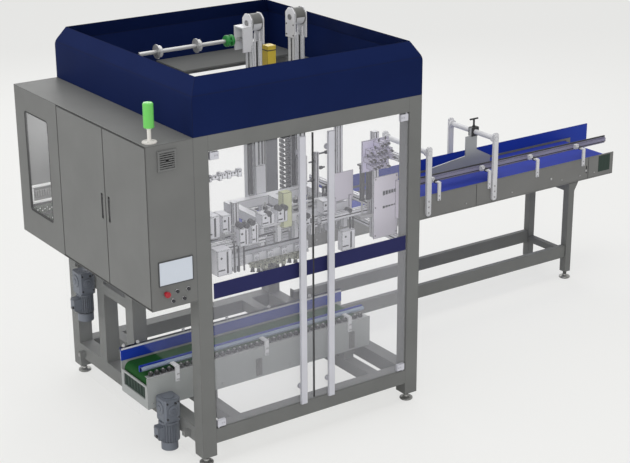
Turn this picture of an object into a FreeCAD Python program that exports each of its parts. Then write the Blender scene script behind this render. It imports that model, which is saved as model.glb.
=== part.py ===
"""Drop case packer: a machine frame with a roof hood and a side cabinet, a product infeed
conveyor on the right, a case conveyor low down, and a lift with a drop head between them.

Frame: origin on the floor under the centre of the front left post, +X along the machine
front towards the infeed, +Y to the back, +Z up. Millimetres.
"""
import FreeCAD, Part
import operator
import os
import Sketcher

from types import SimpleNamespace
from FreeCAD import Placement, Rotation, Vector

document = FreeCAD.newDocument("drop_case_packer")

# Driving sizes. Each one is written once, here.
SIZES = {
    # main frame of square tube
    "post_size": 100,
    "frame_width": 1700,
    "frame_depth": 1800,
    "post_length": 2100,
    "rail_lift": 85,
    "side_post_near": 820,
    "side_post_far": 1230,
    "side_tie_height": 70,
    "guard_lug_width": 40,
    "guard_lug_inset": 90,
    "guard_lug_drop": 110,
    # levelling feet
    "foot_height": 60,
    "foot_radius": 45,
    "foot_edge": 14,
    "stem_flats": 22,
    # roof hood of folded sheet
    "hood_wall": 246,
    "hood_rise": 101,
    "hood_inset": 60,
    "hood_sheet": 4,
    "hood_bend": 90,
    # clear front doors
    "door_thick": 8,
    "door_setback": 4,
    "door_rail_gap": 8,
    "door_seam": 6,
    "pivot_inset": 20,
    "pivot_radius": 6,
    "pivot_grip": 22,
    "running_gap": 0.06,
    "bore_end_gap": 1,
    "leaf_overhang": 10,
    "patch_width": 60,
    "patch_height": 46,
    "patch_cheek": 6,
    "pull_width": 45,
    "pull_thick": 18,
    "pull_standoff": 30,
    "pull_from_seam": 108,
    "standoff_radius": 9,
    "standoff_inset": 110,
    # clear guards on the left side and at the rear
    "guard_thick": 5,
    "guard_standoff": 42,
    "guard_low": 80,
    "guard_edge_gap": 25,
    "guard_top_gap": 2,
    "guard_cut_gap": 15,
    # side cabinet of sheet steel
    "cabinet_reach": 315,
    "cabinet_drop": 1022,
    "cabinet_sheet": 3,
    "leaf_thick": 18,
    "leaf_edge_gap": 10,
    "hinge_inset": 9,
    "hinge_radius": 4,
    "hinge_grip": 15,
    "front_leaf_width": 523,
    "rear_leaf_width": 615,
    "grip_height": 164,
    "grip_width": 24,
    "grip_depth": 8,
    "grip_from_seam": 28,
    "grip_rise": 425,
    "window_near_margin": 140,
    "window_far_margin": 137,
    "window_sill": 180,
    "window_head": 148,
    "window_round": 26,
    "pane_thick": 5,
    "duct_rise": 176,
    "duct_spacing": 112,
    "duct_thick": 12,
    "duct_depth": 25,
    "duct_inset": 64,
    # operator panel on the cabinet's front end
    "screen_width": 236,
    "screen_height": 156,
    "screen_thick": 7,
    "screen_rise": 149,
    "screen_from_side": 50,
    "button_radius": 14,
    "button_depth": 16,
    "button_first": 95,
    "button_pitch": 76,
    "button_shift": 46,
    "button_row_high": 98,
    "button_row_low": 43,
    "stop_radius": 19,
    "stop_depth": 34,
    "filter_size": 125,
    "filter_thick": 9,
    "filter_drop": 39,
    "filter_from_side": 72,
    "filter_border": 13,
    "louvre_depth": 6,
    "louvre_height": 6,
    "louvre_count": 8,
    # signal beacon
    "beacon_flange": 45,
    "beacon_flange_thick": 9,
    "beacon_pole": 12,
    "beacon_pole_height": 88,
    "lamp_radius": 32,
    "lamp_height": 152,
    "beacon_from_side": 67,
    "beacon_from_front": 71,
    # product infeed conveyor
    "infeed_from_back": 240,
    "infeed_width": 510,
    "infeed_start": 30,
    "infeed_end": 4520,
    "infeed_bottom": 829,
    "infeed_plate_height": 184,
    "infeed_plate_thick": 6,
    "roller_radius": 68,
    "roller_end_gap": 30,
    "belt_thick": 4,
    "belt_side_gap": 12,
    "belt_drop": 12,
    "end_window_width": 109,
    "end_window_height": 121,
    "end_window_drop": 17,
    "end_window_from_end": 46,
    "slot_width": 10,
    "slot_height": 60,
    "slot_from_end": 302,
    "slot_rise": 55,
    # stand under the infeed
    "leg_place": 4068,
    "leg_size": 60,
    "gusset_reach": 35,
    "gusset_height": 75,
    "gusset_edge": 12,
    "tie_size": 50,
    "tie_drop": 25,
    "stand_rail_level": 190,
    "stand_rail_height": 100,
    "stand_rail_width": 40,
    # guides and gantries over the infeed
    "guide_level": 1095,
    "guide_height": 62,
    "guide_strip": 10,
    "guide_channel": 10,
    "guide_channel_height": 26,
    "guide_inset": 97,
    "guide_start": 1800,
    "bracket_width": 30,
    "bracket_thick": 10,
    "bracket_hold": 60,
    "bracket_first": 360,
    "bracket_pitch": 500,
    "bracket_count": 5,
    "far_guard_height": 150,
    "far_guard_hold": 60,
    "far_guard_end": 4715,
    "far_guard_thick": 8,
    "gantry_first": 2567,
    "gantry_second": 3220,
    "gantry_post_width": 45,
    "gantry_post_thick": 20,
    "gantry_post_length": 540,
    "gantry_post_low": 853,
    "gantry_post_bevel": 12,
    "gantry_tube_radius": 20,
    "gantry_tube_drop": 45,
    # lane divider hung on the second gantry
    "divider_thick": 10,
    "divider_place": 250,
    "divider_level": 1048,
    "divider_height": 75,
    "divider_before": 410,
    "divider_after": 176,
    "neck_before": 79,
    "neck_after": 33,
    "shoulder_rise": 75,
    "clamp_half": 34,
    "clamp_thick": 44,
    "clamp_bore_gap": 0.3,
    "handle_size": 9,
    "handle_height": 70,
    "handle_span": 80,
    # case conveyor
    "case_near": 330,
    "case_width": 351,
    "case_start": -224,
    "case_end_gap": 20,
    "case_bottom": 301,
    "case_plate_height": 216,
    "case_plate_thick": 8,
    "case_cover_drop": 16,
    "case_cover_border": 34,
    "case_cover_sill": 60,
    "case_roller_radius": 40,
    "case_roller_gap": 20,
    "case_belt_drop": 10,
    "case_guide_thick": 12,
    "case_guide_height": 72,
    "case_rail_height": 14,
    "case_rod_radius": 14,
    "case_rod_inset": 80,
    "case_rod_lift": 34,
    "case_strip_height": 40,
    "case_strip_reach": 24,
    "case_strip_thick": 12,
    "case_bracket_width": 30,
    "case_bracket_thick": 8,
    "case_bracket_drop": 70,
    "case_bracket_first": 204,
    "case_bracket_pitch": 680,
    "case_bracket_count": 3,
    "support_width": 80,
    "support_inset": 160,
    "support_stub": 60,
    # gear motors
    "gearbox_size": 120,
    "gearbox_height": 150,
    "gearbox_bevel": 14,
    "motor_flange": 108,
    "motor_flange_thick": 12,
    "motor_core": 48,
    "motor_fin": 9,
    "motor_fin_thick": 5,
    "motor_fin_count": 12,
    "motor_body": 140,
    "cowl_radius": 55,
    "cowl_height": 58,
    "terminal_box_reach": 34,
    "terminal_box_width": 66,
    "terminal_box_height": 84,
    "case_motor_place": 112,
    "case_motor_level": 240,
    "infeed_motor_inset": 110,
    "infeed_motor_level": 740,
    # roof structure and lift
    "beam_width": 50,
    "bridge_thick": 12,
    "rear_plate_inset": 707,
    "rear_plate_reach": 290,
    "rear_plate_thick": 10,
    "rear_plate_edge": 6,
    "column_first": 982,
    "column_spacing": 340,
    "column_place": 900,
    "column_size": 80,
    "column_slot": 12,
    "column_slot_depth": 9,
    "column_bottom": 1280,
    "column_rise": 270,
    "chain_width": 36,
    "chain_depth": 60,
    "chain_pitch": 50,
    "chain_step": 4,
    "chain_links": 14,
    "head_plate_thick": 10,
    "head_plate_depth": 110,
    "head_plate_height": 200,
    "head_plate_hold": 20,
    "head_plate_bevel": 32,
    "pulley_radius": 55,
    "pulley_gap": 0.3,
    "pulley_rise": 120,
    "shaft_radius": 15,
    "shaft_rise": 292,
    "shaft_start": 125,
    "wheel_radius": 47,
    "wheel_width": 40,
    "wheel_first": 250,
    "wheel_spacing": 290,
    "coupling_radius": 38,
    "coupling_width": 60,
    "coupling_from_head": 112,
    "bearing_plate_width": 66,
    "bearing_plate_height": 165,
    "bearing_plate_thick": 8,
    "motor_width": 66,
    "motor_height": 150,
    "reducer_width": 84,
    "reducer_height": 60,
    "motor_offset": 120,
    # drop head
    "head_before": 300,
    "head_after": 60,
    "head_reach": 460,
    "head_level": 1320,
    "beam_size": 60,
    "finger_size": 34,
    "finger_length": 130,
    "finger_columns": 6,
    "carriage_thick": 20,
    "carriage_height": 260,
    # how far a cutting tool runs past the sheet that it cuts
    "cut_over": 1,
}

sheet = document.addObject("Spreadsheet::Sheet", "dims")
for row, (name, value) in enumerate(SIZES.items(), start=1):
    sheet.set(f"A{row}", name)
    sheet.set(f"B{row}", str(value))
    sheet.setAlias(f"B{row}", name)
document.recompute()

SIGNS = {"+": operator.add, "-": operator.sub, "*": operator.mul, "/": operator.truediv}


class Size:
    """A length held both as its number and as the formula over the sheet that gives it."""

    def __init__(self, number, formula):
        self.number = number
        self.formula = formula

    def __add__(self, other):
        return joined(self, "+", other)

    def __radd__(self, other):
        return joined(other, "+", self)

    def __sub__(self, other):
        return joined(self, "-", other)

    def __rsub__(self, other):
        return joined(other, "-", self)

    def __mul__(self, other):
        return joined(self, "*", other)

    def __rmul__(self, other):
        return joined(other, "*", self)

    def __truediv__(self, other):
        return joined(self, "/", other)

    def __neg__(self):
        return joined(0, "-", self)


def sized(value):
    """A plain number as a Size; a Size as it is."""
    return value if isinstance(value, Size) else Size(value, f"({value})")


def joined(left, sign, right):
    """Two sizes joined by a sign."""
    left, right = sized(left), sized(right)
    return Size(SIGNS[sign](left.number, right.number), f"({left.formula} {sign} {right.formula})")


S = SimpleNamespace(**{name: Size(value, f"dims.{name}") for name, value in SIZES.items()})


def bind(piece, name, value):
    """Tie one of a piece's properties to the sheet."""
    piece.setExpression(name, sized(value).formula)


def stand(piece, x, y, z):
    """Tie where a piece stands to the sheet."""
    for axis, value in zip("xyz", (x, y, z)):
        bind(piece, f".Placement.Base.{axis}", value)


def box(name, x, y, z):
    """A block between (low, high) on each axis."""
    piece = document.addObject("Part::Box", name)
    for length, (low, high) in zip(("Length", "Width", "Height"), (x, y, z)):
        bind(piece, length, high - low)
    stand(piece, x[0], y[0], z[0])
    return piece


ROD_TURN = {
    "z": Rotation(),
    "x": Rotation(Vector(0, 1, 0), 90),
    "y": Rotation(Vector(1, 0, 0), -90),
}


def rod(name, axis, radius, length, x, y, z):
    """A cylinder that starts at x, y, z and runs up the given axis."""
    piece = document.addObject("Part::Cylinder", name)
    piece.Placement = Placement(Vector(), ROD_TURN[axis])
    bind(piece, "Radius", radius)
    bind(piece, "Height", length)
    stand(piece, x, y, z)
    return piece


def sketch(body, name, points):
    """A closed outline of straight lines on the body's XY plane, every corner tied to the sheet."""
    drawing = body.newObject("Sketcher::SketchObject", name)
    plane = [item for item in body.Origin.OriginFeatures if item.Role == "XY_Plane"][0]
    drawing.AttachmentSupport = [(plane, "")]
    drawing.MapMode = "FlatFace"
    points = [(sized(across), sized(up)) for across, up in points]
    corners = [Vector(across.number, up.number) for across, up in points]
    for start, end in zip(corners, corners[1:] + corners[:1]):
        drawing.addGeometry(Part.LineSegment(start, end))
    for count, corner in enumerate(points):
        before = (count - 1) % len(points)
        drawing.addConstraint(Sketcher.Constraint("Coincident", before, 2, count, 1))
        for way, axis, value in zip(("DistanceX", "DistanceY"), (-2, -1), corner):
            if value.formula == "(0)":
                drawing.addConstraint(Sketcher.Constraint("PointOnObject", count, 1, axis))
                continue
            tie = drawing.addConstraint(Sketcher.Constraint(way, -1, 1, count, 1, value.number))
            bind(drawing, f"Constraints[{tie}]", value)
    return drawing


def feature(body, kind, name, drawing, **lengths):
    """A sketched feature of a body with its lengths tied to the sheet."""
    made = body.newObject(f"PartDesign::{kind}", name)
    made.Profile = drawing
    for length, value in lengths.items():
        bind(made, length, value)
    return made


PLATE_TURN = {
    "z": Rotation(),
    "x": Rotation(Vector(1, 1, 1), 120),
    "y": Rotation(Vector(1, 0, 0), 90),
}


def plate(name, axis, low, thick, points):
    """An outline in the plane across an axis, padded along that axis from low."""
    body = document.addObject("PartDesign::Body", name)
    feature(body, "Pad", f"{name}_pad", sketch(body, f"{name}_outline", points), Length=thick)
    body.Placement = Placement(Vector(), PLATE_TURN[axis])
    base = low + thick if axis == "y" else low
    stand(body, *[base if way == axis else 0 for way in "xyz"])
    return body


def oblong(across, up):
    """The corners of a rectangle between (low, high) each way."""
    return [(across[0], up[0]), (across[1], up[0]), (across[1], up[1]), (across[0], up[1])]


def rounded(body, radius, chosen=lambda middle: True):
    """Round the upright edges of a padded body whose middle is chosen."""
    document.recompute()
    pad = body.Tip
    edges = []
    for count, edge in enumerate(pad.Shape.Edges, start=1):
        along = edge.Vertexes[-1].Point - edge.Vertexes[0].Point
        if abs(along.z) > abs(along.x) + abs(along.y) and chosen(edge.CenterOfMass):
            edges.append(f"Edge{count}")
    fillet = body.newObject("PartDesign::Fillet", f"{body.Name}_rounding")
    fillet.Base = (pad, edges)
    bind(fillet, "Radius", radius)
    return body


LATHE_TURN = {
    "x": Rotation(),
    "y": Rotation(Vector(0, 0, 1), 90),
    "z": Rotation(Vector(0, 1, 0), -90),
}


def turned(name, axis, x, y, z, points):
    """A turned piece: (along, radius) corners swung round an axis from x, y, z."""
    body = document.addObject("PartDesign::Body", name)
    drawing = sketch(body, f"{name}_half", points)
    spin = body.newObject("PartDesign::Revolution", f"{name}_spin")
    spin.Profile = drawing
    spin.ReferenceAxis = (drawing, ["H_Axis"])
    spin.Angle = 360
    body.Placement = Placement(Vector(), LATHE_TURN[axis])
    stand(body, x, y, z)
    return body


def fused(name, pieces):
    """Pieces welded into one solid."""
    piece = document.addObject("Part::MultiFuse", name)
    piece.Shapes = pieces
    piece.Refine = True
    return piece


def cut(name, base, tools):
    """The base with the tools' spaces taken out."""
    piece = document.addObject("Part::Cut", name)
    piece.Base = base
    piece.Tool = tools[0] if len(tools) == 1 else group(f"{name}_spaces", tools)
    return piece


def group(name, pieces):
    """Like pieces that stand apart on one body."""
    piece = document.addObject("Part::Compound", name)
    piece.Links = pieces
    return piece


parts = []


def keep(name, piece):
    """List a finished sub-part under its node name."""
    piece.Label = name
    parts.append(piece)


# How near, in millimetres, an edge's middle lies to where it is looked for
NEAR = 1

# Across the flats of a hexagon, per unit of the circle through its corners
HEXAGON_RATIO = 1.732

# Lines of the machine that its pieces share
LEFT = -S.post_size / 2
RIGHT = S.frame_width - S.post_size / 2
FRONT = -S.post_size / 2
BACK = S.frame_depth - S.post_size / 2
INNER_LEFT = S.post_size / 2
INNER_RIGHT = S.frame_width - S.post_size * 3 / 2
INNER_FRONT = S.post_size / 2
INNER_BACK = S.frame_depth - S.post_size * 3 / 2
TOP = S.foot_height + S.post_length
RAIL_LOW = S.foot_height + S.rail_lift
RAIL_HIGH = RAIL_LOW + S.post_size
CABINET_SIDE = LEFT - S.cabinet_reach
CABINET_LOW = TOP - S.cabinet_drop
INFEED_FAR = BACK - S.infeed_from_back
INFEED_NEAR = INFEED_FAR - S.infeed_width
INFEED_TOP = S.infeed_bottom + S.infeed_plate_height
CASE_FAR = S.case_near + S.case_width
CASE_TOP = S.case_bottom + S.case_plate_height
CASE_END = INNER_RIGHT - S.case_end_gap
COLUMN_FRONT = S.column_place - S.column_size / 2
COLUMN_REAR = S.column_place + S.column_size / 2
COLUMN_SECOND = S.column_first + S.column_spacing
COLUMN_TOP = TOP + S.column_rise


def frame():
    """Four posts of square tube, joined by bottom and top rails of the same tube."""
    corners = {
        "front_left_post": (LEFT, FRONT),
        "front_right_post": (INNER_RIGHT, FRONT),
        "rear_left_post": (LEFT, INNER_BACK),
        "rear_right_post": (INNER_RIGHT, INNER_BACK),
    }
    for name, (x, y) in corners.items():
        keep(name, box(name, (x, x + S.post_size), (y, y + S.post_size), (S.foot_height, TOP)))
    across = (INNER_LEFT, INNER_RIGHT)
    along = (INNER_FRONT, INNER_BACK)
    for level, z in (("bottom", (RAIL_LOW, RAIL_HIGH)), ("top", (TOP - S.post_size, TOP))):
        keep(f"front_{level}_rail", box(f"front_{level}", across, (FRONT, INNER_FRONT), z))
        keep(f"rear_{level}_rail", box(f"rear_{level}", across, (INNER_BACK, BACK), z))
        keep(f"right_{level}_rail", box(f"right_{level}", (INNER_RIGHT, RIGHT), along, z))
    keep("left_top_rail", box("left_top", (LEFT, INNER_LEFT), along, (TOP - S.post_size, TOP)))


def left_side_frame():
    """The left bottom rail with two short posts and a cross rail under the cabinet, and guard lugs."""
    across = (LEFT, INNER_LEFT)
    pieces = [
        box("left_bottom", across, (INNER_FRONT, INNER_BACK), (RAIL_LOW, RAIL_HIGH)),
        box("side_tie", across, (S.side_post_near, INNER_BACK),
            (S.infeed_bottom - S.side_tie_height, S.infeed_bottom)),
    ]
    lug_x = (LEFT - S.guard_standoff, LEFT)
    low_z = (RAIL_HIGH - S.guard_lug_width * 2, RAIL_HIGH - S.guard_lug_width)
    high_z = (CABINET_LOW - S.guard_lug_drop - S.guard_lug_width, CABINET_LOW - S.guard_lug_drop)
    for side, place in (("near", S.side_post_near), ("far", S.side_post_far)):
        pieces.append(box(f"side_{side}", across, (place, place + S.post_size), (RAIL_HIGH, CABINET_LOW)))
        lug_y = place + S.post_size / 2 - S.guard_lug_width / 2
        pieces.append(box(f"high_lug_{side}", lug_x, (lug_y, lug_y + S.guard_lug_width), high_z))
    for side, place in (
        ("near", INNER_FRONT + S.guard_lug_inset - S.guard_lug_width),
        ("far", INNER_BACK - S.guard_lug_inset),
    ):
        pieces.append(box(f"low_lug_{side}", lug_x, (place, place + S.guard_lug_width), low_z))
    keep("left_side_frame", fused("side_frame", pieces))


def feet():
    """Levelling feet: a disc on a hexagon stem, screwed into each post and infeed leg."""
    far_x, far_y = S.frame_width - S.post_size, S.frame_depth - S.post_size
    places = [(0, 0), (far_x, 0), (0, far_y), (far_x, far_y)]
    places += [(S.leg_place, INFEED_NEAR + S.leg_size / 2), (S.leg_place, INFEED_FAR - S.leg_size / 2)]
    keep("levelling_feet", group("feet", [
        fused(f"foot_{count}", [
            rod(f"foot_disc_{count}", "z", S.foot_radius, S.foot_edge, x, y, 0),
            hexagon(f"foot_stem_{count}", S.stem_flats, S.foot_height, x, y),
        ]) for count, (x, y) in enumerate(places)]))


def hexagon(name, flats, height, x, y):
    """An upright hexagon bar that stands on the floor at x, y."""
    bar = document.addObject("Part::Prism", name)
    bar.Polygon = 6
    bind(bar, "Circumradius", flats / HEXAGON_RATIO)
    bind(bar, "Height", height)
    stand(bar, x, y, 0)
    return bar


def hood():
    """A roof skirt of four folded panels with a leaning shoulder, mitred at the corners."""
    rim = S.hood_wall + S.hood_rise
    section = [
        (0, 0),
        (S.hood_sheet, 0),
        (S.hood_sheet, S.hood_wall),
        (S.hood_inset, rim - S.hood_sheet),
        (S.hood_inset, rim),
        (0, S.hood_wall),
    ]
    sides = [
        ("hood_front", 0, (LEFT, FRONT), S.frame_width),
        ("hood_right", 90, (RIGHT, FRONT), S.frame_depth),
        ("hood_rear", 180, (RIGHT, BACK), S.frame_width),
        ("hood_left", 270, (LEFT, BACK), S.frame_depth),
    ]
    for name, angle, (x, y), length in sides:
        panel = plate(f"{name}_fold", "x", Size(0, "(0)"), length, section)
        at_bend = S.hood_wall.number
        rounded(panel, S.hood_bend, lambda middle: abs(middle.y - at_bend) < NEAR and middle.x < NEAR)
        wedge = document.addObject("Part::Wedge", f"{name}_mitre")
        inner = S.hood_inset
        for prop, value in (
            ("Xmin", 0), ("Xmax", length), ("X2min", inner), ("X2max", length - inner),
            ("Ymin", 0), ("Ymax", inner), ("Zmin", 0), ("Zmax", rim), ("Z2min", 0), ("Z2max", rim),
        ):
            bind(wedge, prop, value)
        side = document.addObject("Part::Common", f"{name}_side")
        side.Base, side.Tool = panel, wedge
        side.Placement = Placement(Vector(), Rotation(Vector(0, 0, 1), angle))
        stand(side, x, y, TOP)
        keep(name, side)


DOOR_Y = (FRONT + S.door_setback, FRONT + S.door_setback + S.door_thick)
DOOR_Z = (RAIL_HIGH + S.door_rail_gap, TOP - S.post_size - S.door_rail_gap)
SEAM = S.frame_width / 2 - S.post_size / 2
PIVOT_Y = FRONT + S.door_setback + S.door_thick / 2
PIVOT_X = {"left": INNER_LEFT + S.pivot_inset, "right": INNER_RIGHT - S.pivot_inset}


def front_doors():
    """Two clear frameless leaves, notched at the outer corners for their pivot patches."""
    outer_left = PIVOT_X["left"] - S.leaf_overhang
    outer_right = PIVOT_X["right"] + S.leaf_overhang
    leaves = {
        "left": (outer_left, SEAM - S.door_seam / 2, outer_left),
        "right": (SEAM + S.door_seam / 2, outer_right, outer_right - S.patch_width),
    }
    for side, (low, high, patch_low) in leaves.items():
        patch_x = (patch_low, patch_low + S.patch_width)
        notches = [
            box(f"{side}_low_notch", patch_x, DOOR_Y, (DOOR_Z[0], DOOR_Z[0] + S.patch_height)),
            box(f"{side}_high_notch", patch_x, DOOR_Y, (DOOR_Z[1] - S.patch_height, DOOR_Z[1])),
        ]
        leaf = box(f"{side}_leaf", (low, high), DOOR_Y, DOOR_Z)
        keep(f"{side}_door", cut(f"{side}_leaf_cut", leaf, notches))
        fittings = [door_pull(side)] + door_patches(side, patch_x)
        keep(f"{side}_door_fittings", group(f"{side}_fittings", fittings))


def door_pull(side):
    """A full height pull bar on two standoffs."""
    middle = SEAM - S.pull_from_seam if side == "left" else SEAM + S.pull_from_seam
    back = DOOR_Y[0] - S.pull_standoff
    pieces = [box(f"{side}_bar", (middle - S.pull_width / 2, middle + S.pull_width / 2),
                  (back - S.pull_thick, back), DOOR_Z)]
    for count, level in enumerate((DOOR_Z[0] + S.standoff_inset, DOOR_Z[1] - S.standoff_inset)):
        pieces.append(rod(f"{side}_stud_{count}", "y", S.standoff_radius, S.pull_standoff,
                          middle, back, level))
    return fused(f"{side}_pull", pieces)


def door_patches(side, x):
    """Steel patches clamped on a leaf's outer corners, bored for the pivot pins."""
    cheeks = (DOOR_Y[0] - S.patch_cheek, DOOR_Y[1] + S.patch_cheek)
    depth = S.pivot_grip + S.bore_end_gap
    patches = []
    for level, low, bore_low in (
        ("low", DOOR_Z[0], DOOR_Z[0]),
        ("high", DOOR_Z[1] - S.patch_height, DOOR_Z[1] - depth),
    ):
        block = box(f"{side}_{level}_block", x, cheeks, (low, low + S.patch_height))
        bore = rod(f"{side}_{level}_bore", "z", S.pivot_radius + S.running_gap, depth,
                   PIVOT_X[side], PIVOT_Y, bore_low)
        patches.append(cut(f"{side}_{level}_patch", block, [bore]))
    return patches


def clear_guards():
    """A clear sheet on lugs under the cabinet, cut out round the drives, and one across the rear."""
    x = LEFT - S.guard_standoff - S.guard_thick
    near, far = FRONT + S.guard_edge_gap, BACK - S.guard_edge_gap
    high = CABINET_LOW - S.guard_top_gap
    case_near = S.case_near - S.gearbox_size - S.guard_cut_gap
    case_far = CASE_FAR + S.guard_cut_gap
    case_high = CASE_TOP + S.case_guide_height + S.case_rail_height + S.guard_cut_gap
    outline = [
        (near, S.guard_low),
        (case_near, S.guard_low),
        (case_near, case_high),
        (case_far, case_high),
        (case_far, S.guard_low),
        (far, S.guard_low),
        (far, high),
        (near, high),
    ]
    sheet_left = plate("left_guard", "x", x, S.guard_thick, outline)
    motor_y = INFEED_FAR - S.infeed_motor_inset
    half = S.gearbox_size / 2 + S.terminal_box_reach + S.guard_cut_gap
    hole = box("left_guard_hole", (x - S.cut_over, x + S.guard_thick + S.cut_over),
               (motor_y - half, motor_y + half),
               (S.infeed_motor_level - S.motor_body - S.cowl_height - S.guard_cut_gap * 2,
                S.infeed_motor_level + S.gearbox_height + S.guard_cut_gap))
    rear_y = BACK - S.door_setback - S.guard_thick
    rear = box("rear_guard", (INNER_LEFT, INNER_RIGHT), (rear_y, rear_y + S.guard_thick),
               (RAIL_HIGH, TOP - S.post_size))
    keep("clear_guards", group("guards", [cut("left_guard_cut", sheet_left, [hole]), rear]))


LEAF_AXIS = CABINET_SIDE + S.hinge_inset
LEAF_Z = (CABINET_LOW + S.cabinet_sheet + S.leaf_edge_gap, TOP - S.cabinet_sheet - S.leaf_edge_gap)
FRONT_LEAF_LOW = FRONT + S.cabinet_sheet + S.leaf_edge_gap
FRONT_LEAF_HIGH = FRONT_LEAF_LOW + S.front_leaf_width
REAR_LEAF_LOW = FRONT_LEAF_HIGH + S.leaf_edge_gap
REAR_LEAF_HIGH = REAR_LEAF_LOW + S.rear_leaf_width
LEAVES = {
    "front": (FRONT_LEAF_LOW, FRONT_LEAF_HIGH, FRONT_LEAF_LOW + S.hinge_inset,
              FRONT_LEAF_HIGH - S.grip_from_seam - S.grip_width),
    "rear": (REAR_LEAF_LOW, REAR_LEAF_HIGH, REAR_LEAF_HIGH - S.hinge_inset,
             REAR_LEAF_LOW + S.grip_from_seam),
}


def hinge_pins():
    """Fixed pins: out of the frame's rails into the door patches, and in the cabinet's leaves."""
    pins = []
    for side in ("left", "right"):
        for level, low in (("low", RAIL_HIGH), ("high", DOOR_Z[1] - S.pivot_grip)):
            pins.append(rod(f"{side}_{level}_pin", "z", S.pivot_radius, S.door_rail_gap + S.pivot_grip,
                            PIVOT_X[side], PIVOT_Y, low))
    for side, (low_y, high_y, axis_y, grip_y) in LEAVES.items():
        for level, low in (("low", CABINET_LOW + S.cabinet_sheet), ("high", LEAF_Z[1] - S.hinge_grip)):
            pins.append(rod(f"{side}_{level}_leaf_pin", "z", S.hinge_radius, S.leaf_edge_gap + S.hinge_grip,
                            LEAF_AXIS, axis_y, low))
    keep("hinge_pins", group("pins", pins))


def cabinet():
    """A sheet steel cabinet hung on the left of the frame: plates, two leaves and a window panel."""
    x = (CABINET_SIDE, LEFT)
    inner_x = (CABINET_SIDE, LEFT - S.cabinet_sheet)
    z = (CABINET_LOW + S.cabinet_sheet, TOP - S.cabinet_sheet)
    keep("cabinet_top", box("cab_top", x, (FRONT, BACK), (z[1], TOP)))
    keep("cabinet_bottom", box("cab_bottom", x, (FRONT, BACK), (CABINET_LOW, z[0])))
    keep("cabinet_back", box("cab_back", (inner_x[1], LEFT), (FRONT, BACK), z))
    keep("cabinet_front_end", box("cab_front", inner_x, (FRONT, FRONT + S.cabinet_sheet), z))
    keep("cabinet_rear_end", rear_end(inner_x, z))
    for side in LEAVES:
        keep(f"{side}_cabinet_door", cabinet_leaf(side))
    wall = REAR_LEAF_HIGH + S.leaf_edge_gap
    keep("cabinet_partition", box("cab_wall", (CABINET_SIDE + S.leaf_thick, inner_x[1]),
                                  (wall, wall + S.cabinet_sheet), z))
    window_panel(wall, z)


def rear_end(x, z):
    """The rear end sheet, with the frame of cable ducts on its inner face."""
    face = BACK - S.cabinet_sheet
    duct_x = CABINET_SIDE + S.duct_inset
    duct_y = (face - S.duct_depth, face)
    low = CABINET_LOW + S.duct_rise
    pieces = [box("cab_rear", x, (face, BACK), z)]
    for count in range(2):
        level = low + S.duct_spacing * count
        pieces.append(box(f"duct_{count}", (duct_x, x[1]), duct_y, (level, level + S.duct_thick)))
    pieces.append(box("duct_riser", (duct_x, duct_x + S.duct_thick), duct_y, (low, low + S.duct_spacing)))
    return fused("rear_end_set", pieces)


def cabinet_leaf(side):
    """A cabinet door leaf with a sunk grip, bored for its hinge pins."""
    low_y, high_y, axis_y, grip_y = LEAVES[side]
    grip_z = CABINET_LOW + S.grip_rise
    leaf = box(f"{side}_cabinet_leaf", (CABINET_SIDE, CABINET_SIDE + S.leaf_thick), (low_y, high_y), LEAF_Z)
    spaces = [box(f"{side}_grip", (CABINET_SIDE, CABINET_SIDE + S.grip_depth),
                  (grip_y, grip_y + S.grip_width), (grip_z, grip_z + S.grip_height))]
    depth = S.hinge_grip + S.bore_end_gap
    for level, low in (("low", LEAF_Z[0]), ("high", LEAF_Z[1] - depth)):
        spaces.append(rod(f"{side}_{level}_leaf_bore", "z", S.hinge_radius + S.running_gap, depth,
                          LEAF_AXIS, axis_y, low))
    return cut(f"{side}_cabinet_cut", leaf, spaces)


def window_panel(wall, z):
    """The fixed panel with a round cornered window, and the pane that fills it."""
    across = (wall + S.window_near_margin, BACK - S.window_far_margin)
    up = (CABINET_LOW + S.window_sill, TOP - S.window_head)
    panel = plate("window_sheet", "x", CABINET_SIDE, S.leaf_thick,
                  oblong((wall, BACK - S.cabinet_sheet), z))
    hole = plate("window_hole", "x", CABINET_SIDE - S.cut_over, S.leaf_thick + 2 * S.cut_over,
                 oblong(across, up))
    keep("window_panel", cut("window_cut", panel, [rounded(hole, S.window_round)]))
    keep("window_pane", rounded(plate("pane", "x", CABINET_SIDE + S.leaf_thick / 2, S.pane_thick,
                                      oblong(across, up)), S.window_round))


def operator_panel():
    """Touch screen, buttons, stop button and louvred fan filter on the cabinet's front end."""
    screen_x, screen_z = CABINET_SIDE + S.screen_from_side, CABINET_LOW + S.screen_rise
    keep("touch_screen", box("screen", (screen_x, screen_x + S.screen_width),
                             (FRONT - S.screen_thick, FRONT), (screen_z, screen_z + S.screen_height)))
    first = CABINET_SIDE + S.button_first
    places = [(first + S.button_pitch * count, S.button_row_high) for count in (1, 2)]
    places += [(first + S.button_shift + S.button_pitch * count, S.button_row_low) for count in (0, 1)]
    keep("push_buttons", group("buttons", [
        rod(f"button_{count}", "y", S.button_radius, S.button_depth,
            x, FRONT - S.button_depth, CABINET_LOW + rise)
        for count, (x, rise) in enumerate(places)]))
    keep("stop_button", rod("stop", "y", S.stop_radius, S.stop_depth, first, FRONT - S.stop_depth,
                            CABINET_LOW + S.button_row_high))
    keep("fan_filter", fan_filter())


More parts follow.
